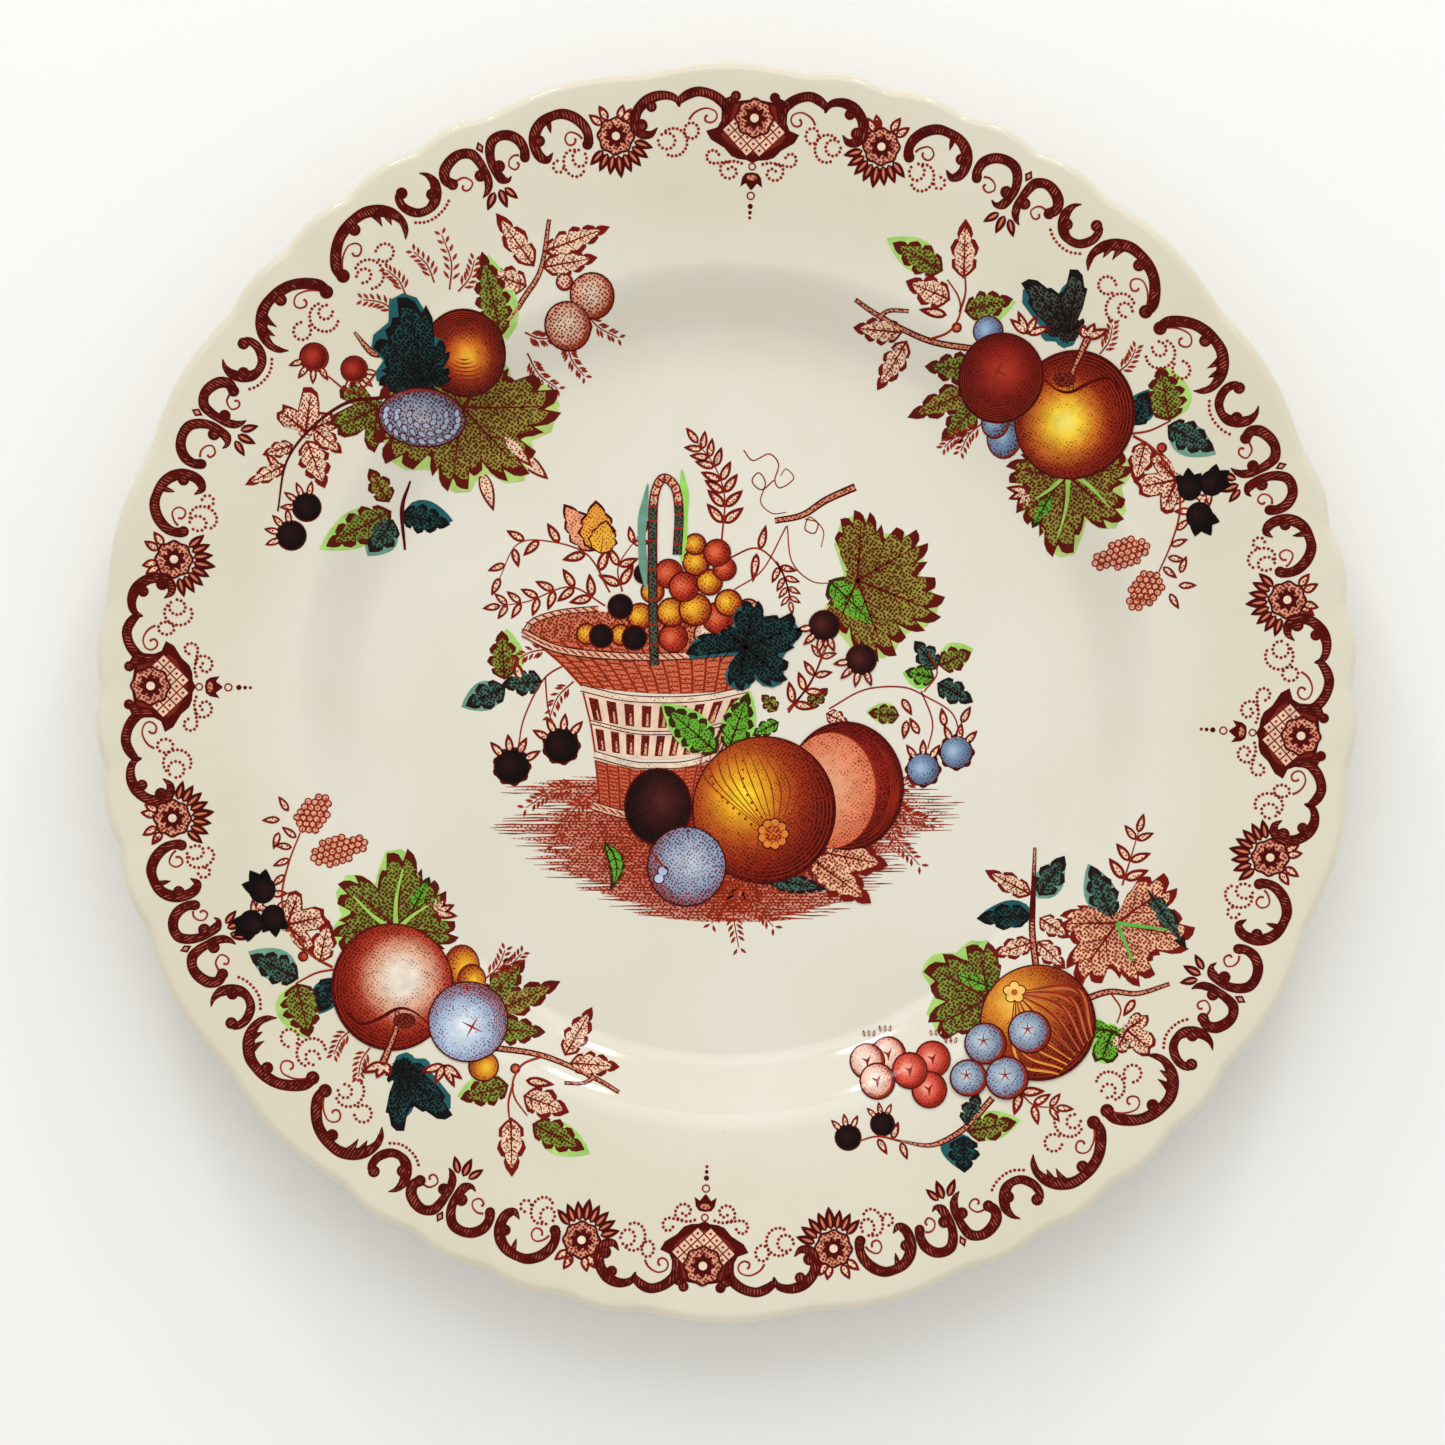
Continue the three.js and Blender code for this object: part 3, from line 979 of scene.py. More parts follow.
def fruit(p, centre, rx, ry, stops, light=(-0.18, 0.1), tones=(0.0, 0.45), hatches=6, edge=0.34):
    """A round fruit with a dark edge and engraved arcs that follow its shaded side."""
    count = max(20, int(rx * 5))
    pitch = max(0.8, rx * 0.11)
    p.fill(ring(centre, rx + edge / 2, ry + edge / 2, count), flat(INK), sub=0, pitch=pitch * 2)
    paint = shaded(centre, rx, ry, stops, light, tones)
    p.fill(ring(centre, rx - edge / 2, ry - edge / 2, count), paint, sub=1, pitch=pitch)
    shade = bearing_of(np.negative(light))
    for k in range(hatches):
        inner = 1 - 0.055 * (k + 1)
        reach = 150 - 78 * k / hatches
        path = arc(centre, rx * inner, ry * inner, shade - reach, shade + reach, 10 + int(rx * 1.6))
        p.line(path, (0.05, 0.26 - 0.02 * k, 0.05), sub=2)


def berry(p, centre, radius, stops=BLACK, crown=None, hatches=0, leaves=4):
    """A small berry, with a crown of leaflets on the bearing given."""
    if crown is not None:
        for k in range(leaves):
            bearing = crown + (k - (leaves - 1) / 2) * 34
            leaflet(p, towards(centre, bearing, radius * 0.75), bearing, radius * 1.15, radius * 0.5)
    p.level += 0.3
    fruit(p, centre, radius, radius, stops, hatches=hatches, tones=(0.0, 0.2), edge=0.3)
    p.level -= 0.3


def bud(p, centre, radius, tip):
    """A dark bud with three points on the bearing given and two small leaves behind."""
    for side in (-150, 150):
        leaflet(p, towards(centre, tip + side, radius * 0.7), tip + side * 0.8, radius * 1.3, radius * 0.6)
    for side, reach in ((-42, 1.6), (42, 1.6), (0, 1.75)):
        root = towards(centre, tip + side, -radius * 0.4)
        point = towards(centre, tip + side, radius * reach)
        p.fill(leaf_outline(root, point, radius * 1.3), flat(BLACK[2]), sub=3, pitch=COARSE)
    body = shaded(centre, radius, radius, BLACK, tones=(0.0, 0.2))
    p.fill(ring(centre, radius, radius * 1.05, 18), body, sub=4, pitch=1)


def lobed_berry(p, centre, radius, stops, crown, leaves, lobes, reach, lobe):
    """A berry with a crown and an edge of small lobes."""
    for k in range(lobes):
        p.dot(towards(centre, 360 / lobes * k, reach), lobe, sub=1, sides=10)
    berry(p, centre, radius, stops, crown, leaves=leaves)


def star(p, centre, bearings, reach, widths):
    """Short strokes from one point."""
    for bearing in bearings:
        p.line([centre, towards(centre, bearing, reach)], widths)


def blossom(p, centre, petals, start, reach, radius, tint, sub, corners):
    """A ring of round petals with inked edges."""
    for k in range(petals):
        spot = towards(centre, start + 360 / petals * k, reach)
        p.fill(ring(spot, radius, count=corners), flat(INK), sub=sub, pitch=COARSE)
        p.fill(ring(spot, 0.9, count=corners), flat(tint), sub=sub + 1, pitch=COARSE)


# ---- The border ----

# The border is drawn once, from the middle of a shield to the middle of the gap between two quarters, in
# degrees from the shield and radius. Each quarter was laid by hand: it has its own turn, and reaches to its
# own number of degrees on its right and on its left.
DRAWN_REACH = 44.4
STROKE_WEIGHT = 1.1
BEAD_PITCH = 0.8
BEAD_RADIUS = 0.355
QUARTERS = {
    "north": (-2.8, 46.2, 46.7),
    "west": (-0.25, 45.6, 44.6),
    "south": (-2.35, 43.5, 43.5),
    "east": (-4.75, 44.3, 45.6),
}
# The left half is spaced a little otherwise: these degrees of the drawing move to those below them.
LEFT_SPACING = (
    (0, 3, 10.8, 12.6, 15, 21.4, 26.6, 32, 44.4),
    (0, 3, 11.7, 13.4, 15.8, 21.6, 25.9, 31.8, 44.4),
)


class BorderHalf:
    """The right half of a quarter of the border, with side 1, or the left half, with side -1."""

    def __init__(self, p, side, reach):
        self.p, self.side, self.stretch = p, side, reach / DRAWN_REACH

    def at(self, points):
        """Where points of the drawing, in degrees and radius, lie on the plate."""
        degrees, radius = np.transpose(np.asarray(points, float))
        if self.side < 0:
            degrees = np.interp(degrees, *LEFT_SPACING)
        a = np.radians(degrees) * self.side * self.stretch
        return np.c_[radius * np.sin(a), radius * np.cos(a)]

    def bearing(self, point, angle):
        """The plan bearing of an angle that is counted from rightwards along the rim."""
        x, y = self.at([point])[0]
        return bearing_of((x, y)) + (angle - 90 if self.side > 0 else 90 - angle)

    def scroll(self, *knots, balls=()):
        """A stroke through (degrees, radius, width), with round lobes at (degrees, radius, size)."""
        knots = np.array(knots)
        self.p.line(spline(self.at(knots[:, :2])), knots[:, 2] * STROKE_WEIGHT, hatched=True)
        for degrees, radius, size in balls:
            self.p.ball(self.at([(degrees, radius)])[0], size)

    def tendril(self, *points):
        """A fine curling stroke."""
        self.p.stem(self.at(points), (0.5, 0.32, 0.4, 0.5))

    def beads(self, *points):
        """A string of beads."""
        self.p.beads(spline(self.at(points)), BEAD_PITCH, BEAD_RADIUS)

    def bead_arc(self, centre, rx, ry, start, end):
        """Beads along part of an oval, with its angles counted from rightwards along the rim."""
        turns = np.radians(np.linspace(start, end, 24))
        degrees, radius = centre
        oval = np.c_[degrees + rx * np.cos(turns), radius + ry * np.sin(turns)]
        self.p.beads(self.at(oval), BEAD_PITCH, BEAD_RADIUS)

    def leaves(self, *leaves, dark=False):
        """Leaflets given as (base, tip), or dark petals."""
        for ends in leaves:
            base, tip = self.at(ends)
            bearing, length = bearing_of(tip - base), math.hypot(*(tip - base))
            if dark:
                petal(self.p, base, bearing, length)
            else:
                leaflet(self.p, base, bearing, length, 2)

    def draw(self):
        self.shield_side()
        self.double_arch()
        self.flower()
        self.single_arch()
        self.paired_scrolls()
        self.cup()
        self.great_arch()

    def shield_side(self):
        """The shield's dark ground and panel, its frame and its strings of beads."""
        ground = [
            (0, 125.6), (2.3, 124.9), (3.1, 123.5), (3.15, 121), (3.5, 119.6), (4.5, 118.9), (4.1, 117.1),
            (2.9, 115.3), (2.2, 113.6), (1.5, 113), (0.6, 112.8), (0, 112.2)
        ]
        panel = [
            (0, 125), (1.9, 124.4), (2.2, 122), (2.4, 119.6), (3.2, 118.2), (2.7, 116.5), (1.4, 114.9),
            (0, 114)
        ]
        self.p.fill(self.at(ground), flat(INK), sub=0)
        self.p.fill(self.at(panel), flat(srgb(118, 34, 22)), sub=4)
        self.scroll(
            (1.8, 126.1, 1.6), (2.1, 125.3, 1.6), (2.7, 124.5, 1.8), (2.8, 123, 1),
            balls=[(1.8, 126.1, 1.1)]
        )
        self.beads(
            (3.4, 113.9), (3.7, 114.7), (4.2, 114.7), (4.5, 113.8), (4.4, 112.7), (3.9, 112.1),
            (2.6, 112.4), (1.8, 112.5), (1.1, 112.1)
        )
        self.beads(
            (2.5, 112.3), (3, 112), (3.3, 111.1), (3.1, 109.6), (2.5, 108.9), (1.8, 109.4), (1.6, 110.4),
            (2, 111.3), (2.5, 110.9)
        )

    def double_arch(self):
        """Two scrolls that meet next to the shield, with three loops of beads."""
        self.scroll((2.75, 120.4, 1.4), (2.7, 123.5, 1.9), (3.2, 125.2, 2), (4, 126.5, 1.9), (5, 127.15, 1.9),
                    (5.9, 126.6, 1.9), (6.6, 125.4, 1.4), (6.65, 124.2, 0.3))
        self.scroll((6.6, 124.6, 0.5), (7, 126.2, 1.4), (7.7, 126.9, 1.7), (8.5, 126.9, 2), (9.3, 126.2, 2.2),
                    (10.1, 124.6, 2), (10.5, 122.5, 2), (10.5, 120.7, 2), (10, 119.4, 1.9), (9.3, 119.2, 1.4),
                    (8.65, 120.4, 0.2), balls=[(8.95, 124.9, 1.15), (10, 121.3, 1.35)])
        self.tendril(
            (5.9, 121.4), (5.5, 122.6), (4.9, 123.4), (4.3, 123.6), (3.7, 123), (3.5, 122), (3.7, 121),
            (4.1, 120.6), (4.5, 121), (4.5, 121.8), (4.3, 122.2)
        )
        self.bead_arc((5.75, 119.1), 0.62, 1.65, -20, 300)
        self.bead_arc((7.4, 117), 1.2, 2.9, 60, 300)
        self.bead_arc((8, 117.4), 0.75, 1.7, 60, 370)

    def flower(self):
        """A round flower between its leaves and its dark petals."""
        middle = np.array([12.6, 120])
        for way in ((-2, 5.2), (-1.3, 6.3), (1, 7), (2.1, 5.6)):
            self.leaves((middle + np.multiply(way, 0.5), middle + way))
        centre = self.at([middle])[0]
        for k in range(8):
            bearing = self.bearing(middle, -37 - 16.4 * k)
            petal(self.p, towards(centre, bearing, 4), bearing, 4.9 if k == 3 else 4.3)
        floret(self.p, centre, 3.95, self.bearing(middle, 90))

    def single_arch(self):
        """One scroll that arches over a tendril and three loops of beads."""
        self.scroll(
            (15.4, 119.6, 2), (15.2, 121.5, 1.8), (15.4, 123.5, 2), (16.1, 125.6, 2.1), (17.1, 127, 2),
            (18.1, 127.25, 1.8), (19.3, 126.8, 2), (20.2, 125.5, 2.2), (20.75, 123.6, 2.2),
            (20.9, 121.4, 2), (20.65, 119.7, 1.9), (20.05, 118.9, 1.5), (19.3, 119.9, 0.2),
            balls=[(15.5, 119.6, 1.15), (20.25, 123.1, 1.2)]
        )
        self.scroll((18.8, 126.6, 1.3), (18.85, 125, 0.8), (18.9, 123.9, 0.1))
        self.tendril(
            (15.9, 121), (16.2, 122), (16.8, 122.9), (17.3, 122.8), (17.65, 121.8), (17.5, 120.6),
            (17.1, 120.3), (16.7, 120.7), (16.6, 121.5)
        )
        self.bead_arc((16.7, 117.2), 0.75, 1.75, 100, -200)
        self.bead_arc((17.4, 116.5), 1.15, 2.85, 110, -130)
        self.bead_arc((19.2, 116.8), 0.55, 1.25, 100, -150)

    def paired_scrolls(self):
        """Two scrolls back to back, with a lozenge over them and dark leaves below."""
        self.scroll(
            (22.35, 120.9, 2), (22.1, 122.5, 1.8), (22.3, 124.6, 2), (23.05, 126.3, 2), (24.1, 127, 1.9),
            (25.1, 126.6, 2), (25.75, 125, 1.9), (26.1, 122.8, 1.7), (26.05, 120.5, 1.8),
            (25.8, 118.6, 1.9), (25.2, 117.8, 1), (24.6, 118.3, 0.2),
            balls=[(22.35, 120.9, 1.05), (25.5, 121.2, 1.3)]
        )
        self.scroll(
            (30.1, 122, 2), (30.45, 123.6, 2), (30.1, 125.4, 2.2), (29.2, 126.6, 2.1), (28.3, 126.8, 1.9),
            (27.5, 125.8, 2), (27.2, 123.9, 1.8), (27.1, 121.8, 1.6), (27.1, 120, 1.7), (27.3, 118.4, 1.6),
            (27.7, 117.3, 1.1), (28.25, 116.6, 0.2), balls=[(30.1, 122, 1.2), (27.6, 121, 1.25)]
        )
        self.tendril(
            (22.9, 121.8), (23.5, 122.1), (24.1, 121.6), (24.4, 120.5), (24.1, 119.5), (23.7, 119.3),
            (23.3, 119.9), (23.4, 120.6)
        )
        self.tendril(
            (29.7, 122.3), (29, 122.2), (28.6, 121.3), (28.5, 120.3), (28.9, 119.5), (29.3, 119.5),
            (29.5, 120.2), (29.3, 120.8)
        )
        self.p.fill(
            self.at([(26.6, 127.7), (26.2, 126.4), (26.6, 125), (27, 126.4)]), flat(INK), pitch=COARSE
        )
        self.p.fill(
            self.at([(26.6, 127), (26.42, 126.4), (26.6, 125.8), (26.78, 126.4)]),
            flat(srgb(206, 140, 110)), sub=2, pitch=COARSE
        )
        self.leaves(
            ((25.9, 116.7), (24.9, 113.4)), ((26.5, 116.8), (26.6, 112.5)), ((27.05, 116.7), (28.4, 113.8)),
            dark=True
        )

    def cup(self):
        """An open scroll with beads under it."""
        self.scroll(
            (32.1, 127.5, 0.2), (31.6, 126.2, 1), (31.4, 124.2, 1.9), (31.7, 122.2, 2.2),
            (32.3, 120.6, 2.1), (33.1, 120, 1.6), (34, 120.4, 1.7), (34.6, 121.6, 1.8), (34.95, 123.2, 1.7),
            (34.95, 124.8, 1.6), (34.7, 126, 1.4), balls=[(32.1, 122.3, 1.25), (34.4, 125.8, 1.25)]
        )
        self.beads((31.1, 119.4), (31.6, 118.6), (32.2, 118.1), (33.1, 117.8), (34, 118.1), (34.8, 119.1))

    def great_arch(self):
        """The broad scroll at the end of the half, with a tendril and three loops of beads."""
        self.scroll(
            (36.5, 117.4, 0.2), (36, 119, 1.2), (35.8, 121, 1.5), (36.15, 123.4, 2.1), (36.9, 125.3, 2.4),
            (38, 126.8, 2.2), (39.2, 127.1, 2), (40.4, 126.7, 2.2), (41.5, 125.8, 2.1), (42.5, 124.1, 2.2),
            (43.3, 122, 2.2), (43.5, 120.3, 2), balls=[(39.8, 125.4, 1.3), (43.4, 119.65, 1.45)]
        )
        self.scroll((36.6, 124, 1.7), (36.7, 122.8, 1), (36.8, 121.5, 0.1))
        self.scroll((37.5, 125.4, 1.7), (37.5, 124, 1), (37.6, 122.4, 0.1))
        self.tendril(
            (43, 120.9), (42.6, 121.9), (42, 122.9), (41.2, 123.6), (40.6, 123.2), (40.3, 122.2),
            (40.5, 121.2), (41, 120.7), (41.35, 121.3), (41.3, 122)
        )
        self.bead_arc((38.9, 117.8), 0.9, 1.8, 50, 345)
        self.bead_arc((41.4, 116.3), 1.4, 3.1, 65, 300)
        self.bead_arc((41.9, 116.8), 0.75, 1.4, 40, 315)


def floret(p, centre, radius, outward):
    """A round flower: a scalloped outline, a stippled band, eight dark petals and a pale eye."""
    turns = np.arange(64) * TAU / 64

    def scalloped_ring(r, depth):
        reach = r * (1 + depth * np.cos(8 * turns))
        return np.asarray(centre) + np.c_[reach * np.cos(turns), reach * np.sin(turns)]

    p.fill(scalloped_ring(radius, 0.05), flat(INK), sub=6, pitch=1.2)
    p.fill(scalloped_ring(radius * 0.88, 0.06), flat(srgb(224, 164, 134), 0.5), sub=9, pitch=1.2)
    for k in range(8):
        bearing = outward + k * 45
        base, tip = towards(centre, bearing, radius * 0.16), towards(centre, bearing, radius * 0.66)
        p.fill(leaf_outline(base, tip, radius * 0.32), flat(INK), sub=12, pitch=COARSE)
    p.fill(ring(centre, radius * 0.31, count=16), flat(INK), sub=14, pitch=COARSE)
    p.fill(ring(centre, radius * 0.22, count=16), flat(srgb(242, 218, 190)), sub=17, pitch=COARSE)


def petal(p, base, bearing, length):
    """A dark leaflet with a small light slit."""
    p.fill(leaf_outline(base, towards(base, bearing, length), length * 0.45), flat(INK), sub=1, pitch=COARSE)
    slit = [towards(base, bearing, length * share) for share in (0.12, 0.3, 0.5, 0.68)]
    p.line(slit, (0.15, 0.55, 0.45, 0.1), sub=4, paint=flat(srgb(206, 120, 92)))


def mirrored_outline(half):
    """A closed outline from its right half, which runs from the top to the bottom."""
    half = np.asarray(half, float)
    return np.vstack([half, half[::-1] * (-1, 1)])


def shield_middle(p):
    """The shield's diaper of lozenges, its floret and the pendant under it."""
    panel = mirrored_outline(
        [(0.1, 122), (4.4, 122), (4.9, 119.4), (6.4, 118), (5.5, 116.4), (3, 114.9), (0.1, 114)]
    )
    pitch = 2.7
    half = pitch * 0.42
    for i in range(-3, 5):
        for j in range(-3, 5):
            x, y = (i - j) * pitch / 2, 116.2 + (i + j) * pitch / 2
            if inside(np.array([[x, y]]), panel)[0]:
                lozenge = [(x + half, y), (x, y + half), (x - half, y), (x, y - half)]
                p.fill(lozenge, flat(srgb(236, 198, 168)), sub=8, pitch=COARSE)
                p.dot((x, y), 0.32, sub=11, sides=6)
    p.level += 3
    floret(p, (0, 121.6), 4.1, 90)
    p.level -= 3
    p.hoop((0, 111.5), 0.7, 13)
    bell = [(0.05, 110.3), (1.3, 110.1), (2, 109.2), (2.35, 107.2), (1.2, 108), (0.3, 106.8), (0.05, 106.6)]
    p.fill(mirrored_outline(bell), flat(INK), pitch=3)
    p.fill(ring((0, 109.2), 1.1, 0.6, 12), flat(srgb(206, 132, 104), 0.3), sub=4, pitch=COARSE)
    p.hoop((0, 105.4), 0.75, 12)
    for y, r in ((103.2, 0.58), (101.9, 0.42), (100.8, 0.36)):
        p.dot((0, y), r)


def draw_borders():
    """The four quarters of the border, each from one drawing."""
    for i, (name, (turn, right, left)) in enumerate(QUARTERS.items()):
        p = Print(BORDER_STEP)
        shield_middle(p)
        BorderHalf(p, 1, right).draw()
        BorderHalf(p, -1, left).draw()
        p.build(f"border_{name}", f"border_transfer_{name}", turn + 90 * i)


def bunch(p, centre, bearing, length, width, grain=0.82):
    """A close-packed bunch of small grapes in an oval."""
    a = math.radians(bearing)
    way = np.array([[math.cos(a), math.sin(a)], [-math.sin(a), math.cos(a)]])
    across = int(length / grain) + 1
    for i in range(-across, across + 1):
        for j in range(-4, 5):
            spot = np.array([i * 1.66 * grain + (j % 2) * 0.83 * grain, j * 1.44 * grain])
            if np.linalg.norm(spot / (length / 2, width / 2 * (1 - 0.35 * spot[0] / length))) < 1:
                spot = centre + spot @ way
                p.fill(ring(spot, grain, count=9), flat(FINE_INK), sub=1, pitch=COARSE)
                grape = ring(spot, grain * 0.64, count=8)
                p.fill(grape, flat(srgb(226, 168, 140), 0.16), sub=2, pitch=COARSE)


# ---- The fruit sprays ----

SPRAY_SPREAD = 1.008


def apple_branch(p):
    """The branch at the left, with its leaves."""
    twig(p, [(27.2, 83.0), (31, 80.4), (37, 77.0), (44, 74.0), (53, 72.2)], (0.9, 1.2, 1.4))
    twig(p, [(32.5, 79.6), (34.5, 80.6), (38.5, 80.4)], (1.0, 0.8))
    leaf(p, (37.2, 76.2), (26.8, 77.6), 5.6, "pink", 4)
    leaf(p, (38.2, 74.6), (32.0, 64.6), 5.4, "pink", 4)
    p.stem([(43, 74.6), (47, 76.0), (49.2, 79.4), (49.0, 83), (46.6, 86.8)], (0.55, 0.3))
    p.stem([(49.2, 80), (50.4, 84), (50.2, 89)], (0.55, 0.3))
    leaf(p, (45.6, 88.6), (35.0, 94.6), 6.6, "green", 4, slip=(-1.2, 0.9))
    leaf(p, (50.0, 87.0), (50.4, 99.4), 6.0, "pink", 3)
    leaf(p, (47.2, 82.6), (37.8, 86.6), 6.6, "pink", 3)
    leaf(p, (50.2, 80.2), (60.4, 82.6), 6.4, "green", 4, slip=(0.6, -0.6))
    leaflet(p, (46.6, 79.4), 168, 6.2, 2.2)
    berry(p, (48.6, 76.8), 0.95, RED_GRAPE)
    leaf(p, (53.6, 68.2), (42.0, 69.4), 6.4, "green")
    leaf(p, (53.4, 65.0), (38.4, 58.8), 6.4, "olive")
    leaf(p, (54.0, 62.2), (45.6, 53.8), 6.4, "green")
    fern(p, (54.4, 57.6), 232, 7.6)
    fern(p, (51.6, 55.6), 210, 6.2)
    fern(p, (78.6, 70.8), 66, 6.6)
    fern(p, (82.2, 66.8), 52, 6.4)
    leaflet_fan(p, (63.4, 75.2), 1.9, (112, 5.4), (138, 5.0), (62, 4.6), (16, 5.4))


def apple_vines(p, broad, ivy):
    """The vine leaf below, in the colour broad, and the ivy leaf above."""
    vine(
        p, (72.2, 45.6), 17.0, 262, broad,
        ((0, 1.0, 34), (55, 0.88, 38), (104, 0.8, 36), (-93, 0.78, 36), (-43, 0.78, 36)), 22,
        slip=(0.7, -0.5)
    )
    heart = 72.2, 46.6
    for bearing, length in ((-98, 13.5), (-43, 11.5), (6, 9.0), (218, 8.5)):
        vein = spline([heart, towards(heart, bearing + 6, length / 2), towards(heart, bearing, length)], 4)
        p.line(vein, (1.1, 0.7, 0.3), sub=5, paint=flat(srgb(160, 206, 96)))
    leaf(p, (69.0, 42.6), (64.8, 35.2), 4.2, "lime", 4)
    for k, bearing in enumerate((170, 200, 232, 262)):
        leaflet(p, (64.2, 43.0), bearing, 5.0 - 0.3 * k, 2.0)
    vine(
        p, (72.0, 75.4), 14.6, 104, ivy,
        ((-23, 0.94, 25), (24, 1.0, 27), (0, 0.6, 40), (60, 0.4, 40), (-70, 0.3, 40)), 15, slip=(-0.5, -1.0)
    )


def apple_stem(p):
    """The right-hand leaves and the falling stem with dark buds and small grapes."""
    p.stem([(84.6, 54.0), (89, 54.6), (93.4, 56.6)], (0.5, 0.35))
    leaf(p, (93.2, 56.6), (91.2, 68.0), 8.6, "green", 5, slip=(0.9, 0.2))
    leaf(p, (85.4, 55.8), (88.6, 62.8), 6.0, "dark", 3, slip=(0.3, 0.5))
    leaf(p, (92.8, 55.6), (102.6, 50.2), 6.6, "teal", 4, slip=(0.3, -0.8))
    p.stem([(85.6, 53.6), (90, 50.6), (94.4, 44.6), (95.4, 38), (93.6, 31), (91.0, 25)], (0.6, 0.45, 0.3))
    leaf(p, (88.2, 52.4), (86.0, 43.6), 5.4, "pink", 3)
    vine(p, (94.6, 44.2), 9.6, 190, "pink", MAPLE, 8)
    berry(p, (91.6, 51.0), 0.95, RED_GRAPE)
    berry(p, (91.6, 47.6), 0.85, RED_GRAPE)
    for centre, radius, tip in (((97.4, 42.4), 2.5, 95), ((102.0, 43.4), 2.6, 35), ((99.4, 36.6), 2.8, 300)):
        bud(p, centre, radius, tip)
    bunch(p, (83.2, 28.9), 196, 11.5, 5.6)
    bunch(p, (88.0, 21.0), 232, 10.0, 5.4)
    leaflets(
        p, 3.9, 1.6, ((93.4, 30.4), 20), ((92.8, 28), -12), ((91.8, 26), -40), ((94.6, 33.6), 40),
        ((95.4, 24.6), 70), ((95.0, 22), 0), ((93.2, 20.4), -60)
    )


def apple_and_plum(p, apple, plum, plum_radius, grape, plum_light):
    """The apple and the plum, with three small fruits behind them."""
    p.level = 2
    berry(p, (55.2, 76.0), 3.1, grape)
    fruit(p, (58.9, 54.4), 3.6, 4.4, grape, hatches=2, edge=0.26)
    p.level = 2.9
    fruit(p, (57.0, 57.6), 2.9, 3.4, grape, hatches=2, edge=0.26)
    p.level = 3.8
    fruit(p, (73.4, 58.3), 12.5, 13.3, apple, (-0.16, -0.12), (0.0, 0.5), 9)
    cheek = [(66.2, 66.4), (69.5, 63.6), (72.6, 63.0), (76.8, 65.0), (80.6, 65.6), (83.6, 62.4)]
    p.stem(cheek, (0.2, 0.8, 0.3))
    p.fill(ring((71.2, 65.6), 2.4, 1.7, 14), flat(srgb(120, 40, 20), 0.4), sub=4)
    twig(p, [(72.6, 63.4), (73.0, 67.2), (74.6, 71.0), (76.0, 74.0)], (1.0, 1.3, 1.7))
    leaflet_fan(p, (75.8, 74.2), 2.2, (20, 5.2), (60, 3.6), (112, 3.0))
    p.level = 5.5
    fruit(p, (58.0, 66.4), plum_radius, plum_radius * 1.03, plum, plum_light, (0.0, 0.32), 6)
    p.level = 6.5
    star(p, (57.2, 67.6), (60, 150, 240, 330), 2.3, (0.45, 0.08))


def draw_apple_spray(name, node, turn, apple, plum, plum_radius, grape, plum_light, broad, ivy):
    """The spray with an apple and a plum, drawn for the upper right of the plate."""
    p = Print(SHOULDER_STEP)
    apple_branch(p)
    apple_vines(p, broad, ivy)
    apple_stem(p)
    apple_and_plum(p, apple, plum, plum_radius, grape, plum_light)
    p.build(name, node, turn, SPRAY_SPREAD)


def berry_branch(p):
    """The branch at the top, with its leaves, ferns and pale fruit."""
    twig(p, [(-47.0, 76.5), (-42.8, 83), (-39.2, 89), (-37.4, 99.4)], (1.2, 1.2, 0.9))
    leaf(p, (-40.6, 89.6), (-48.6, 100.6), 5.6, "pink", 3)
    leaf(p, (-42.2, 85.4), (-50.2, 88.4), 6.0, "pink", 3)
    leaf(p, (-38.6, 92.6), (-24.6, 98.0), 5.6, "pink", 5)
    leaf(p, (-38.8, 89.4), (-27.2, 91.6), 5.6, "pink", 4)
    leaf(p, (-47.6, 75.0), (-51.6, 92.6), 7.4, "green", 6, slip=(1.3, -0.6))
    for base, bearing, length in (
        ((-30.6, 81.6), -38, 9.6), ((-34.0, 75.4), -64, 8.6), ((-42.2, 72.0), -48, 9.4),
        ((-42.6, 76), -8, 6)
    ):
        fern(p, base, bearing, length, 8)
    for base, bearing, length in (
        ((-58.4, 84.6), 98, 11.4), ((-56.6, 84.2), 62, 7.4), ((-69.4, 79.6), 160, 7.6),
        ((-67.6, 83.4), 128, 6.4), ((-61.6, 86), 124, 7.6)
    ):
        fern(p, base, bearing, length, 6)
    p.level = 1
    for centre, radius in (((-28.4, 83.8), 4.6), ((-33.6, 77.6), 4.8), ((-34.2, 86.4), 1.7)):
        p.level += 0.3
        fruit(p, centre, radius, radius, PALE_FRUIT, (-0.1, 0.1), (0.24, 0.44), 4)
    p.level = 0


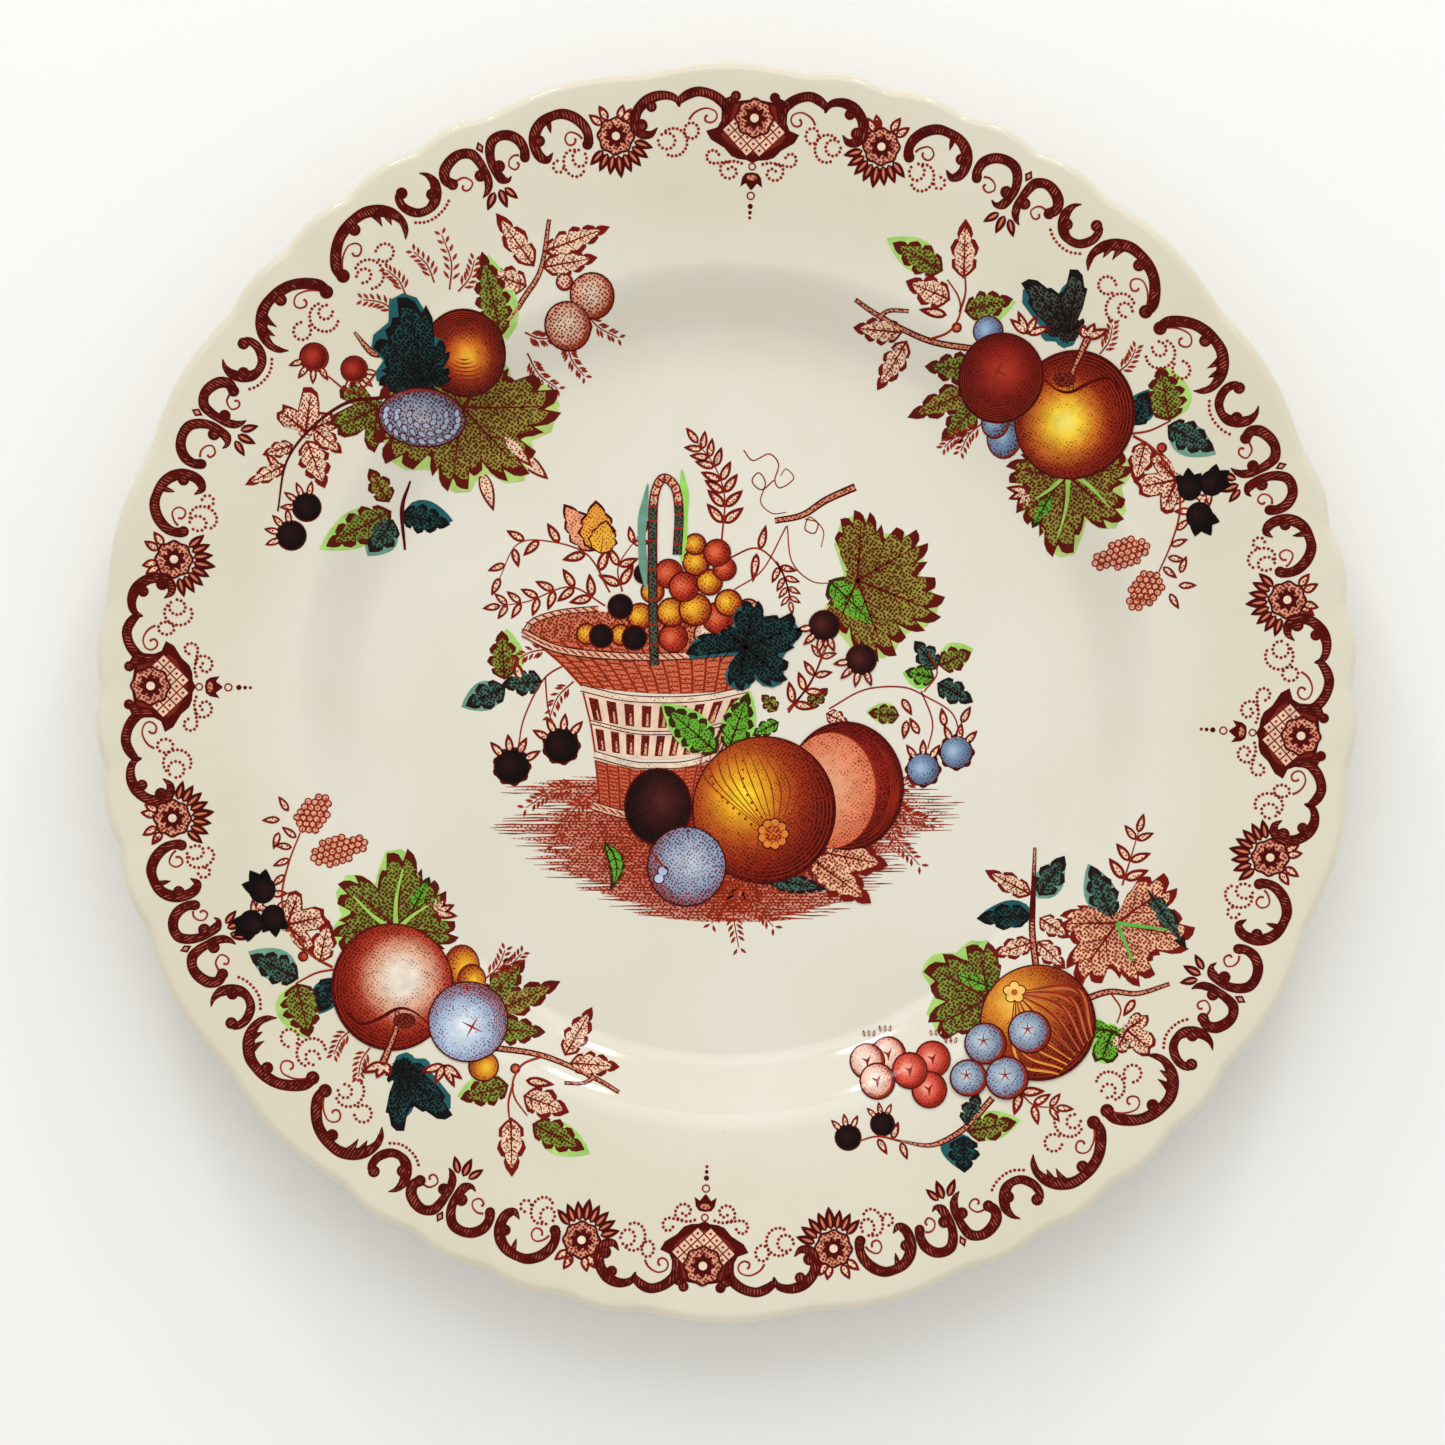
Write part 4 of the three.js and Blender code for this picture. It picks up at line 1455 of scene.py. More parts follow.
def berry_stems(p):
    """Stems to the left, with their leaves and berries."""
    p.stem([(-72.4, 61.8), (-80, 60.6), (-87.2, 55.4), (-92.6, 48.0), (-94.4, 37.6)], (0.8, 0.6, 0.35))
    p.stem([(-71.4, 70.2), (-78, 62.8), (-84.4, 66.4)], (0.5, 0.35))
    twig(p, [(-70.8, 71.0), (-74.6, 71.2), (-78.4, 75.4)], (1.0, 1.6, 0.6))
    vine(p, (-88.6, 54.4), 9.8, 82, "pink", MAPLE, 9)
    leaf(p, (-86.8, 55.0), (-81.0, 50.0), 4.4, "pink", 3)
    leaf(p, (-88.4, 52.6), (-84.6, 42.6), 6.6, "pink", 4)
    leaf(p, (-91.2, 51.6), (-97.6, 49.4), 3.6, "pink", 3)
    leaf(p, (-92.8, 47.4), (-101.2, 43.0), 3.6, "pink", 3)
    leaflet(p, (-93.8, 46.0), 128, 5.4, 1.8)
    vine(p, (-73.6, 59.6), 11.4, 206, "green", MAPLE, 10)
    berry(p, (-86.8, 70.0), 3.0, RED_PLUM, 250, hatches=2)
    berry(p, (-78.4, 67.6), 2.8, RED_PLUM, 300, hatches=2)
    berry(p, (-88.4, 38.6), 3.0, BLACK, 130)
    berry(p, (-91.6, 32.6), 3.1, BLACK, 150)


def berry_leaves(p):
    """Lower leaves and their stalk."""
    p.stem([(-67.0, 45.0), (-68.8, 39.0), (-68.2, 30.6)], (0.4, 0.9, 0.5))
    leaf(p, (-71.0, 38.6), (-84.4, 30.4), 7.2, "green", 5, slip=(-1.4, -0.7))
    leaf(p, (-70.6, 36.8), (-75.6, 29.8), 6.6, "teal", 3, slip=(-0.4, -0.8))
    leaf(p, (-69.0, 38.0), (-58.6, 36.0), 6.2, "dark", 4, slip=(0.6, 0.8))
    leaf(p, (-71.4, 40.4), (-75.4, 47.0), 5.2, "olive", 3)


def berry_broad_leaf(p):
    """The broad leaf under the fruit."""
    p.level = 1
    vine(
        p, (-56.0, 60.6), 23.0, 262, "olive",
        ((0, 0.78, 40), (-52, 0.9, 38), (52, 0.86, 38), (-100, 0.8, 40), (100, 0.92, 40), (146, 0.6, 30)),
        24, slip=(0.8, -0.8)
    )
    for base, tip in (
        ((-47.4, 55.0), (-41.2, 48.2)), ((-52.0, 47.2), (-49.4, 38.8)), ((-43.8, 51.0), (-37.8, 45.6))
    ):
        leaf(p, base, tip, 3.0, "pink", 0, veins=0)


def ripe_fruit(p):
    """The ripe fruit, the dark leaf over it and the blue berry."""
    p.level = 2
    fruit(p, (-55.4, 71.6), 8.6, 8.9, RIPE, (0.1, -0.1), (0.0, 0.45), 7)
    for k in range(6):
        p.line(arc((-55.4, 71.6), 7.4 - k * 1.1, 5.6 - k * 0.8, 200 + k * 6, 330 - k * 5), (0.06, 0.34, 0.06))
    p.level = 3
    vine(
        p, (-64.0, 65.4), 18.4, 101, "dark",
        ((0, 1.0, 32), (-40, 0.52, 34), (32, 0.74, 34), (76, 0.52, 38), (-84, 0.34, 44), (130, 0.3, 40)),
        17, slip=(-0.8, 1.0)
    )
    p.level = 4
    blue_berry(p, (-64.4, 58.0))


def draw_berry_spray():
    """The upper left spray: a ripe fruit under a dark leaf, a blue berry and a broad vine leaf."""
    p = Print(SHOULDER_STEP)
    berry_branch(p)
    berry_stems(p)
    berry_leaves(p)
    berry_broad_leaf(p)
    ripe_fruit(p)
    p.build("spray_nw", "spray_transfer_nw", 0, SPRAY_SPREAD)


def blue_berry(p, centre):
    """A broad blue berry with rows of drupelets along its lower side."""
    rx, ry = 9.0, 5.9
    fruit(p, centre, rx, ry, BROAD_BERRY, (0.0, -0.1), (0.15, 0.5), 2)
    for reach, count in ((0.84, 15), (0.58, 11), (0.3, 6)):
        for bearing in np.linspace(165, 375, count):
            a = math.radians(bearing)
            spot = np.add(centre, (rx * reach * math.cos(a), ry * reach * math.sin(a)))
            drupe = leaf_outline(towards(spot, bearing + 62, -1.15), towards(spot, bearing + 62, 1.15), 1.3)
            p.fill(drupe, flat(srgb(96, 50, 56)), sub=3, pitch=COARSE)
            p.fill(spot + (drupe - spot) * 0.7, flat(srgb(170, 186, 212)), sub=4, pitch=COARSE)


def melon_leaves(p):
    """The upper branches, with their leaves."""
    twig(p, [(65.2, -32.6), (64.8, -42), (64.4, -50), (65.0, -58.6)], (0.7, 1.3, 1.5))
    for base, tip, width, colour, slip in (
        ((64.4, -42.6), (54.6, -37.4), 4.6, "pink", None),
        ((66.0, -42.8), (71.4, -34.4), 6.0, "teal", (-0.3, -0.6)),
        ((64.2, -47.0), (52.8, -47.6), 5.6, "dark", (0.6, 0.6)),
        ((64.4, -52.8), (56.0, -55.4), 4.8, "pink", None),
        ((66.0, -47.6), (72.0, -52.0), 4.6, "pink", None),
        ((65.4, -52.6), (71.0, -58.6), 4.8, "pink", None),
    ):
        leaf(p, base, tip, width, colour, 3, slip=slip)
    p.stem([(74.4, -62.0), (76.4, -58.0), (80.0, -57.0), (83.4, -60.0)], (0.4, 0.3))
    leaflets(
        p, 3.6, 1.8, ((76.6, -57.8), 100), ((79.0, -57.0), 60), ((81.2, -57.6), 30), ((82.6, -59.0), -30)
    )
    twig(p, [(73.8, -65.4), (80, -63.4), (86, -63.8), (92.6, -61.8)], (1.6, 1.2, 0.9))
    p.stem([(80.6, -64.0), (82.4, -67.0), (81.6, -70.0)], (0.4, 0.3))
    vine(p, (80.6, -71.6), 7.8, 250, "lime", IVY, 8, slip=(-0.2, 0.4))
    vine(p, (83.6, -71.4), 7.6, 320, "pink", IVY, 8)
    leaflet(p, (85.4, -65.0), 235, 4.4, 1.9)
    sprig(p, [(83.0, -41.0), (84.6, -36), (86.4, -30.0)], 3, 5.4, 52)
    vine(
        p, (81.8, -49.0), 16.6, 292, "rust",
        ((0, 0.86, 40), (-58, 0.92, 42), (56, 1.0, 38), (-112, 0.74, 42), (104, 0.9, 40)), 20
    )
    for bearing, length in ((292, 8.6), (352, 10.4)):
        vein = spline([(81.8, -49.0), towards((81.8, -49.0), bearing, length)], 5)
        p.line(vein, (0.9, 0.5), sub=5, paint=flat(srgb(96, 178, 70)))
    leaf(p, (80.8, -48.0), (76.6, -36.6), 6.4, "teal", 4, slip=(-0.5, 0.3))
    leaf(p, (88.4, -42.2), (96.2, -54.6), 4.4, "teal", 3)
    vine(
        p, (55.0, -64.6), 15.4, 150, "green",
        ((0, 0.96, 44), (-52, 0.82, 42), (58, 0.9, 42), (110, 0.7, 40)), 15, slip=(-0.7, 0.9)
    )
    leaf(p, (56.6, -62.6), (46.6, -58.6), 4.6, "lime", 4)


def melon_branch(p):
    """The lower branch, with its leaves and berries."""
    twig(p, [(36.4, -94.6), (43.0, -95.4), (49.6, -92.0), (55.6, -85.6)], (0.5, 1.3, 1.4))
    p.stem([(36.4, -94.6), (31.6, -93.6), (27.6, -94.6)], (0.5, 0.3))
    leaf(p, (50.2, -92.6), (60.6, -90.6), 6.0, "green", 3, slip=(0.8, 0.4))
    leaf(p, (50.2, -91.4), (52.6, -84.6), 5.0, "teal", 3)
    leaf(p, (49.4, -93.6), (49.6, -101.2), 6.8, "dark", 3, slip=(-1.3, 0.9))
    leaflets(p, 4.0, 1.7, ((36.4, -94.8), -70), ((34.6, -94.2), 70), ((31.6, -94.0), -60))
    sprig(p, [(60.6, -83.4), (64.0, -87.0), (68.6, -87.6)], 3, 5.0, 54)
    berry(p, (25.4, -93.8), 2.7, BLACK, 100, leaves=3)
    berry(p, (32.6, -91.0), 2.5, BLACK, 100, leaves=3)


def cherries(p):
    """Cherries and small flowers."""
    p.level = 2
    for centre, stops in (
        ((34.0, -76.4), BLUSH_CHERRY), ((29.6, -77.8), BLUSH_CHERRY), ((31.6, -82.0), BLUSH_CHERRY),
        ((43.2, -77.4), RED_CHERRY), ((42.4, -83.8), RED_CHERRY), ((38.4, -79.8), RED_CHERRY),
    ):
        p.level += 0.8
        fruit(p, centre, 3.6, 3.8, stops, hatches=3, tones=(0.0, 0.18))
        star(p, centre, (60, 150, 270), 1.3, (0.7, 0.1))
    for x, y in ((30, -72.4), (33.4, -71.4), (44, -72.4), (47, -74)):
        for k in (-1, 0, 1):
            leaflet(p, (x + k * 0.9, y), 90 - 14 * k, 1.3, 0.5)


def melon(p):
    """The ribbed melon, with blueberries in front of it."""
    p.level = 7
    centre = np.array([65.2, -69.8])
    fruit(p, centre, 11.9, 12.1, MELON, (-0.42, 0.36), (0.0, 0.5), 5)
    flower = np.array([60.4, -63.4])
    far = centre + (7.2, -6.4)
    for k in range(-4, 5):
        bow = np.array([0.64, 0.72]) * k * 2.5
        rib = spline([flower, (flower + far) / 2 + bow, far + bow * 0.55], 8)
        flank = srgb(224, 152, 60) if k < 0 else srgb(192, 100, 52)
        p.line(rib + (0.5, -0.5), (0.2, 1.0, 0.3), paint=flat(flank))
        p.line(rib, (0.14, 0.6, 0.2), sub=4)
    blossom(p, flower, 5, 90, 1.35, 1.15, srgb(246, 196, 108), 4, 12)
    p.fill(ring(flower, 0.7, count=10), flat(srgb(190, 96, 40)), sub=6, pitch=COARSE)
    p.level = 9.5
    for centre, radius in (
        ((63.4, -71.8), 4.4), ((54.2, -74.2), 4.3), ((50.6, -81.4), 3.8), ((58.6, -81.4), 4.4)
    ):
        p.level += 0.7
        fruit(p, centre, radius, radius, BLUEBERRY_BLOOM, hatches=3, tones=(0.0, 0.32))
        star(p, np.add(centre, (-0.4, 0.6)), range(20, 380, 72), radius * 0.34, (0.34, 0.08))


def draw_melon_spray():
    """The lower right spray: a ribbed melon, blueberries, cherries and leaves."""
    p = Print(SHOULDER_STEP)
    melon_leaves(p)
    melon_branch(p)
    cherries(p)
    melon(p)
    p.build("spray_se", "spray_transfer_se", 0, SPRAY_SPREAD)


# ---- The basket of fruit in the well ----

WELL_SPREAD = 1.013
FRONT_RIM = [(-42.8, 12.8), (-36.0, 9.6), (-27.0, 8.2), (-15.0, 7.8), (-4.0, 8.4), (4.0, 9.6)]


def weave(p, left, right, rows, columns, tint, ribs=0.5, tone=0.12):
    """Wickerwork between two edges: upright ribs crossed by staggered stitches. Returns its at()."""
    left, right = np.asarray(left, float), np.asarray(right, float)
    steps = np.linspace(0, 1, 8)

    def at(u, v):
        """A point of the work: u runs from the left edge to the right, and v from top to bottom."""
        a = [np.interp(v, np.linspace(0, 1, len(left)), left[:, i]) for i in (0, 1)]
        b = [np.interp(v, np.linspace(0, 1, len(right)), right[:, i]) for i in (0, 1)]
        sag = -2.2 * math.sin(math.pi * u) * (1 - 0.4 * v)
        return np.array([a[0] + (b[0] - a[0]) * u, a[1] + (b[1] - a[1]) * u + sag])

    top = [at(u, 0) for u in np.linspace(0, 1, 15)]
    bottom = [at(u, 1) for u in np.linspace(1, 0, 15)]
    sides = [at(1, v) for v in steps[1:-1]], [at(0, v) for v in steps[-2:0:-1]]
    p.fill(np.array(top + sides[0] + bottom + sides[1]), flat(tint, tone), sub=0, pitch=1.6)
    for c in range(columns + 1):
        p.line([at(c / columns, v) for v in steps], ribs)
    for c in range(columns):
        for r in range(rows):
            u, v = (c + 0.5) / columns, (r + 0.25 + 0.5 * (c % 2)) / rows
            if v < 1:
                half = 0.36 / columns
                p.line([at(u - half, v), at(u + half, v)], (0.3, 0.62, 0.3))
    return at


def rope(p, path, width):
    """A twisted rim: a pale band between inked edges, crossed by slanting strokes."""
    curve = spline(path, 7)
    p.line(curve, width, sub=4)
    p.line(curve, width - 0.5, sub=5, paint=flat(srgb(232, 186, 154), 0.06))
    for centre in points_along(curve, np.arange(0.8, distances_along(curve)[-1], 1.75)):
        p.line(
            [centre + (-0.85, width * 0.34), centre, centre + (0.85, -width * 0.34)], (0.2, 0.42, 0.2),
            sub=6
        )


def band(p, path, width):
    """A plain rim: a pale band between inked edges."""
    curve = spline(path)
    p.line(curve, width, sub=4)
    p.line(curve, width - 0.45, sub=5, paint=flat(srgb(238, 216, 190), 0.04))


def slots(p, at, v0, v1, columns):
    """Open slots between two heights of the basket."""
    for c in range(columns):
        u0, u1 = (c + 0.24) / columns, (c + 0.78) / columns
        corners = [at(u0, v0), at(u0, v1), at(u1, v1), at(u1, v0)]
        p.fill(np.array(corners), flat(srgb(118, 32, 20), 0.3), sub=3, pitch=3)
        lit = c / columns
        path = [at(u0 + (u1 - u0) * 0.62, v0 + (v1 - v0) * v) for v in (0.5 - 0.4 * lit, 0.94)]
        p.line(path, (0.3, 0.4 + 0.6 * lit), sub=6, paint=flat(srgb(222, 160, 126), 0.1))


def ground_edges(y, rng):
    """Where the engraved ground starts and ends at a height, with ragged ends."""
    left = np.interp(-y, (17, 20, 24, 28, 33, 38, 43, 48), (-26, -46, -36, -46, -38, -35, -24, -12))
    right = np.interp(-y, (17, 21, 26, 31, 36, 42, 48), (28, 42, 47, 38, 33, 28, 14))
    return left + rng.uniform(-4, 3), right + rng.uniform(-3, 4)


def draw_ground(p, rng):
    """Engraved ground: a stippled tint with ragged ends under tapering level strokes."""
    pitch = 1.3
    west, east = [], []
    for y in np.arange(-17.5, -48.0, -pitch):
        left, right = ground_edges(y, rng)
        west += [(left, y), (left + rng.uniform(4, 9), y - pitch * 0.5)]
        east += [(right, y), (right - rng.uniform(4, 9), y - pitch * 0.5)]

    def paint(plan):
        core = np.clip(1 - ((plan[:, 0] + 2) / 46) ** 2 - ((plan[:, 1] + 30) / 26) ** 2, 0, 1)
        return CREAM + (srgb(206, 92, 58) - CREAM) * core[:, None] ** 0.6, 0.2 + 0.36 * core

    p.fill(np.array(west + east[::-1]), paint, sub=0, pitch=2)
    for y in np.arange(-17.0, -48.0, -0.66):
        left, right = ground_edges(y, rng)
        x = left - rng.uniform(0, 6) * 0.5
        while x < right:
            length = rng.uniform(5, 15)
            middle = 1 - abs((x + length / 2 - (left + right) / 2) / ((right - left) / 2)) ** 2
            width = (0.08, rng.uniform(0.24, 0.34) + 0.22 * max(middle, 0) * rng.uniform(0.3, 1), 0.08)
            wobble = rng.uniform(-0.12, 0.12, 3)
            drawn = min(length, right + 3 - x)
            p.line(
                [(x, y + wobble[0]), (x + drawn / 2, y + wobble[1]), (x + drawn, y + wobble[2])], width,
                sub=2
            )
            x += length * rng.uniform(0.75, 1.1)


def handle_tint(plan):
    """The handle is dark, and pale where it bends over."""
    bent = plan[:, 1] > 40
    return np.where(bent[:, None], srgb(226, 180, 150), srgb(70, 84, 70)), 0.3


def ground_ferns(p):
    """Combs of fine strokes at the edge of the ground."""
    for base, bearing, length in (
        ((-30, -19.6), 200, 13), ((-27, -20.4), 232, 15), ((3.6, -38.5), 236, 12), ((3.6, -38.5), 266, 15),
        ((4.2, -38.5), 298, 12), ((33.6, -24), 300, 14), ((34, -22), 330, 10), ((33, -20), 20, 8)
    ):
        fern(p, base, bearing, length, 9, 2.0)


def sprigs_behind(p):
    """Sprigs, tendrils and leaves that stand behind the basket."""
    sprig(p, [(-24.6, 21.4), (-29.6, 29.6), (-38.6, 32.4), (-44.4, 31.4), (-47.8, 24.6)], 7, 5.4, both=False)
    sprig(p, [(-25.6, 18.6), (-33.0, 22.6), (-41.6, 19.6), (-47.6, 18.6)], 6, 5.0)
    sprig(p, [(-22.0, 21.6), (-22.8, 27.0), (-18.6, 33.4)], 3, 5.2)
    sprig(p, [(-1.0, 32.6), (-0.4, 41.6), (-2.4, 48.0), (-6.0, 53.0)], 7, 5.4, 46)
    p.stem([(0.0, 28.4), (6.4, 30.8), (11.4, 26.4), (13.6, 20.0)], (0.4, 0.35))
    sprig(p, [(10.6, 28.0), (12.6, 23.6), (13.4, 19.6)], 4, 3.8, 50)
    leaflet(p, (7.0, 30.4), 76, 5.6, 1.9)
    leaflet(p, (6.4, 29.8), 262, 6.4, 1.9)
    p.stem([(1.6, 22.0), (7.6, 26.2), (12.6, 35.4)], (0.3, 0.3))
    for path in (
        [
            (3.6, 51.6), (5.6, 49.4), (9.0, 50.8), (11.0, 48.6), (10.2, 45.2), (11.4, 43.6), (14.2, 45.6),
            (12.6, 47.6), (11.4, 46.2)
        ],
        [
            (10.0, 45.2), (7.4, 43.2), (5.4, 45.0), (6.8, 46.8), (8.2, 44.6), (7.2, 40.6), (9.6, 38.2),
            (12.6, 38.4)
        ],
        [(16.6, 37.0), (19.2, 36.2), (18.6, 34.0), (16.6, 34.8), (17.6, 37.4), (20.4, 34.6), (20.0, 31.0)],
        [(12.8, 35.6), (13.8, 28.0), (18.0, 23.8), (23.4, 23.4)]
    ):
        p.line(spline(path, 8), (0.28, 0.28, 0.196))
    twig(p, [(10.2, 36.6), (16.0, 37.8), (21.0, 41.0), (27.2, 43.8)], (1.3, 1.5, 1.7))
    for base, tip, width, colour in (
        ((-27.6, 30.2), (-34.4, 40.2), 6.6, (232, 160, 120)),
        ((-27.2, 30.0), (-27.6, 41.0), 7.8, (230, 158, 58)),
        ((-26.6, 29.6), (-25.4, 36.8), 6.2, (236, 176, 60))
    ):
        p.level += 0.3
        p.fill(leaf_outline(base, tip, width, 4, 0.2), flat(INK))
        heart = leaf_outline(base, tip, width * 0.86, 4, 0.12, start=0.04, end=0.93)
        p.fill(heart, flat(srgb(*colour), 0.14), sub=2)
        p.line([base, np.add(base, tip) / 2], (0.3, 0.1))
    p.level = 0
    vine(
        p, (27.6, 24.0), 19.8, -22, "olive",
        ((0, 0.98, 46), (-48, 0.92, 42), (52, 0.86, 42), (-92, 0.62, 40), (108, 0.76, 44)), 26,
        slip=(-0.6, -0.6)
    )
    leaf(p, (21.6, 24.0), (32.4, 13.4), 8.6, "lime", 5)


def left_berries(p):
    """Leaves and berries on the left."""
    p.stem([(-33.6, 6.4), (-38.6, 3.0), (-42.6, -5.0), (-43.8, -11.0)], (0.4, 0.32))
    p.stem([(-38.2, 3.4), (-37.6, -3.0), (-36.0, -8.4)], (0.35, 0.3))
    leaf(p, (-46.8, 3.0), (-47.4, 13.4), 6.6, "green", 4, slip=(1.0, 0.4))
    leaf(p, (-38.8, 2.6), (-47.4, 2.0), 5.8, "teal", 3)
    leaf(p, (-46.6, 1.4), (-55.0, -2.6), 6.0, "teal", 3, slip=(-0.9, -0.2))
    leaflet(p, (-43.2, 2.8), 110, 4.4, 2.2)
    fern(p, (-37.0, 9.4), 200, 8.6, 7)
    fern(p, (-32.2, 2.6), 236, 9.0, 7)
    for centre, crown in (((-45.2, -15.4), 80), ((-34.8, -11.0), 100)):
        lobed_berry(p, centre, 3.7, BLACK, crown, 4, 9, 3.1, 1.1)


def right_sprays(p):
    """Sprays on the right."""
    p.stem([(13.0, -4.0), (18.0, 3.0), (22.0, 12.0)], (0.5, 0.3))
    sprig(p, [(12.8, -3.4), (17.6, 2.0), (20.6, 9.6)], 4, 4.8, 56)
    p.stem(
        [(21.6, -3.2), (29.0, 0.8), (37.0, 1.4), (42.0, -0.6), (47.4, -4.0), (49.2, -8.6)],
        (0.35, 0.35, 0.3)
    )
    p.stem([(41.0, 0.6), (43.4, -6.0), (42.4, -11.6)], (0.35, 0.3))
    p.stem([(41.6, 0.4), (44.4, 4.4), (42.6, 8.4)], (0.35, 0.3))
    leaf(p, (44.4, 5.2), (39.6, 11.2), 5.2, "teal", 3)
    leaf(p, (44.8, 6.0), (51.6, 8.8), 5.6, "green", 3, slip=(0.4, 0.8))
    leaf(p, (43.8, 3.2), (37.6, 4.8), 4.6, "lime", 3, slip=(-0.5, -0.4))
    leaf(p, (44.4, 2.2), (52.0, -1.8), 5.4, "teal", 3)
    leaf(p, (36.4, -4.6), (29.8, -4.0), 4.4, "green", 3, slip=(-0.4, 0.2))
    leaflets(
        p, 4.2, 1.8, ((37.0, -1.0), -60), ((38.0, -5.6), -100), ((40.6, -8.6), 120), ((46.0, -7.0), 100),
        ((49.4, -6.2), 60)
    )
    for centre, crown in (((41.4, -16.0), 90), ((48.4, -12.4), 80)):
        lobed_berry(p, centre, 3.4, BLUE_BERRY, crown, 3, 8, 2.9, 1.05)
    for base, tip, colour in (
        ((10.6, -3.6), (7.4, -0.2), "green"), ((17.2, -2.6), (21.4, 1.2), "green"),
        ((11.0, -6.0), (5.2, -8.8), "lime"), ((21.0, -4.2), (25.8, -6.4), "pink")
    ):
        leaf(p, base, tip, 3.6, colour, 3, veins=2)


def basket(p):
    """The basket: its far side, its body in three tiers, its bands and its rope."""
    p.level = 1
    mouth = [
        (-42.0, 13.6), (-37.4, 16.4), (-29.0, 17.4), (-15.0, 16.8), (2.0, 16.0), (10.0, 12.6),
        (-2.0, 9.4), (-20.0, 9.2), (-36.0, 10.8),
    ]
    p.fill(spline(mouth, 5, closed=True), flat(srgb(204, 120, 84), 0.4), sub=0)
    for k in range(16):
        x = -39.5 + 3.0 * k
        p.line([(x, 11.0 + 0.03 * k), (x + 0.9, 15.6 - 0.05 * k)], (0.5, 0.3), sub=1)
    rope(p, [(-42.8, 12.6), (-40.6, 15.4), (-35.0, 17.2), (-27.0, 18.0)], 1.3)
    p.level = 3
    weave(
        p, [(-42.2, 12.6), (-34.8, 6.4), (-30.4, 1.6)], [(9.6, 12.0), (6.6, 5.6), (4.4, 1.0)], 9, 15,
        srgb(210, 110, 76)
    )
    middle = weave(
        p, [(-30.2, 0.2), (-28.6, -6.2), (-27.6, -12.6)], [(4.2, 0.2), (1.2, -6.2), (-1.4, -12.6)], 0, 1,
        srgb(238, 206, 180), 0.4, 0.0
    )
    slots(p, middle, 0.06, 0.44, 9)
    slots(p, middle, 0.58, 0.94, 9)
    weave(
        p, [(-27.6, -14.0), (-27.0, -19.0), (-26.6, -24.2)], [(-1.4, -14.0), (-2.6, -19.0), (-3.6, -24.2)],
        12, 11, srgb(206, 100, 70), 0.42
    )
    rope(p, FRONT_RIM + [(10.0, 12.2)], 1.7)
    band(p, [(-30.6, 1.2), (-22.0, -0.8), (-13.0, -1.3), (-4.0, -0.8), (4.6, 1.0)], 1.5)
    band(p, [(-28.6, -6.0), (-20.0, -8.0), (-13.6, -8.3), (-7.0, -7.8), (1.4, -6.0)], 0.9)
    band(p, [(-27.8, -12.8), (-20.0, -14.9), (-14.0, -15.2), (-8.0, -14.8), (-1.2, -12.8)], 1.5)
    rope(p, [(-28.2, -23.6), (-22.0, -25.4), (-15.0, -26.2), (-9.0, -26.0)], 1.9)


def basket_fruit(p):
    """The fruit that fills the basket."""
    p.level = 5
    for (x, y, r), stops in (
        ((-18.2, 16.4, 2.7), YELLOW_GRAPE), ((-15.6, 21.6, 2.4), YELLOW_GRAPE),
        ((-29.4, 12.6, 2.2), YELLOW_GRAPE), ((-22.2, 12.4, 2.2), YELLOW_GRAPE),
        ((-11.2, 11.8, 3.0), RED_GRAPE), ((-4.2, 12.6, 2.6), PALE_FRUIT), ((2.2, 13.8, 3.2), RED_GRAPE),
        ((4.6, 17.6, 2.4), PALE_FRUIT), ((-1.8, 16.0, 3.3), RED_GRAPE), ((-11.6, 17.2, 3.0), YELLOW_GRAPE),
        ((0.4, 19.2, 2.8), YELLOW_GRAPE), ((-6.6, 17.8, 3.4), YELLOW_GRAPE),
        ((-12.2, 25.4, 3.0), RED_GRAPE), ((-9.0, 22.6, 3.1), RED_GRAPE), ((-3.6, 23.6, 2.7), YELLOW_GRAPE),
        ((-0.4, 26.4, 2.4), RED_GRAPE), ((-6.4, 27.8, 2.8), YELLOW_GRAPE), ((-2.0, 29.8, 2.8), RED_GRAPE),
        ((-6.6, 31.6, 2.2), YELLOW_GRAPE)
    ):
        p.level += 0.75
        fruit(p, (x, y), r, r, stops, (-0.2, 0.1), (0.05, 0.4), 2, 0.4)
    p.level = 20
    for centre, r in (((-22.4, 18.4), 2.6), ((-26.4, 12.2), 2.5), ((-19.4, 11.8), 2.6), ((-17.4, 25.4), 2.1)):
        berry(p, centre, r, BLACK)
    rope(p, FRONT_RIM, 1.7)


def basket_handle(p):
    """The hoop handle."""
    p.level = 21
    for path, colour in (
        ([(-17.0, 22.0), (-17.7, 29.0), (-17.8, 36.0), (-16.6, 44.4)], SLIPS["teal"]),
        ([(-9.4, 28.0), (-9.2, 34.0), (-8.9, 41.0), (-9.4, 47.4)], SLIPS["lime"]),
    ):
        p.line(spline(path), (0.4, 1.9, 1.5, 2.0, 0.3), sub=0, paint=flat(colour))
    hoop = spline(
        [(-15.2, 6.0), (-15.5, 18.0), (-15.6, 34.0), (-15.2, 42.0),
         (-13.4, 45.6), (-10.8, 43.6), (-10.0, 38.0), (-10.4, 29.4)], 8
    )
    p.line(hoop, 2.0, sub=1)
    p.line(hoop, 1.4, sub=2, paint=handle_tint)
    for i in range(3, len(hoop) - 1, 3):
        way = hoop[i + 1] - hoop[i - 1]
        across = np.array([-way[1], way[0]]) / np.linalg.norm(way)
        p.line([hoop[i] - across, hoop[i] + across], 0.5)


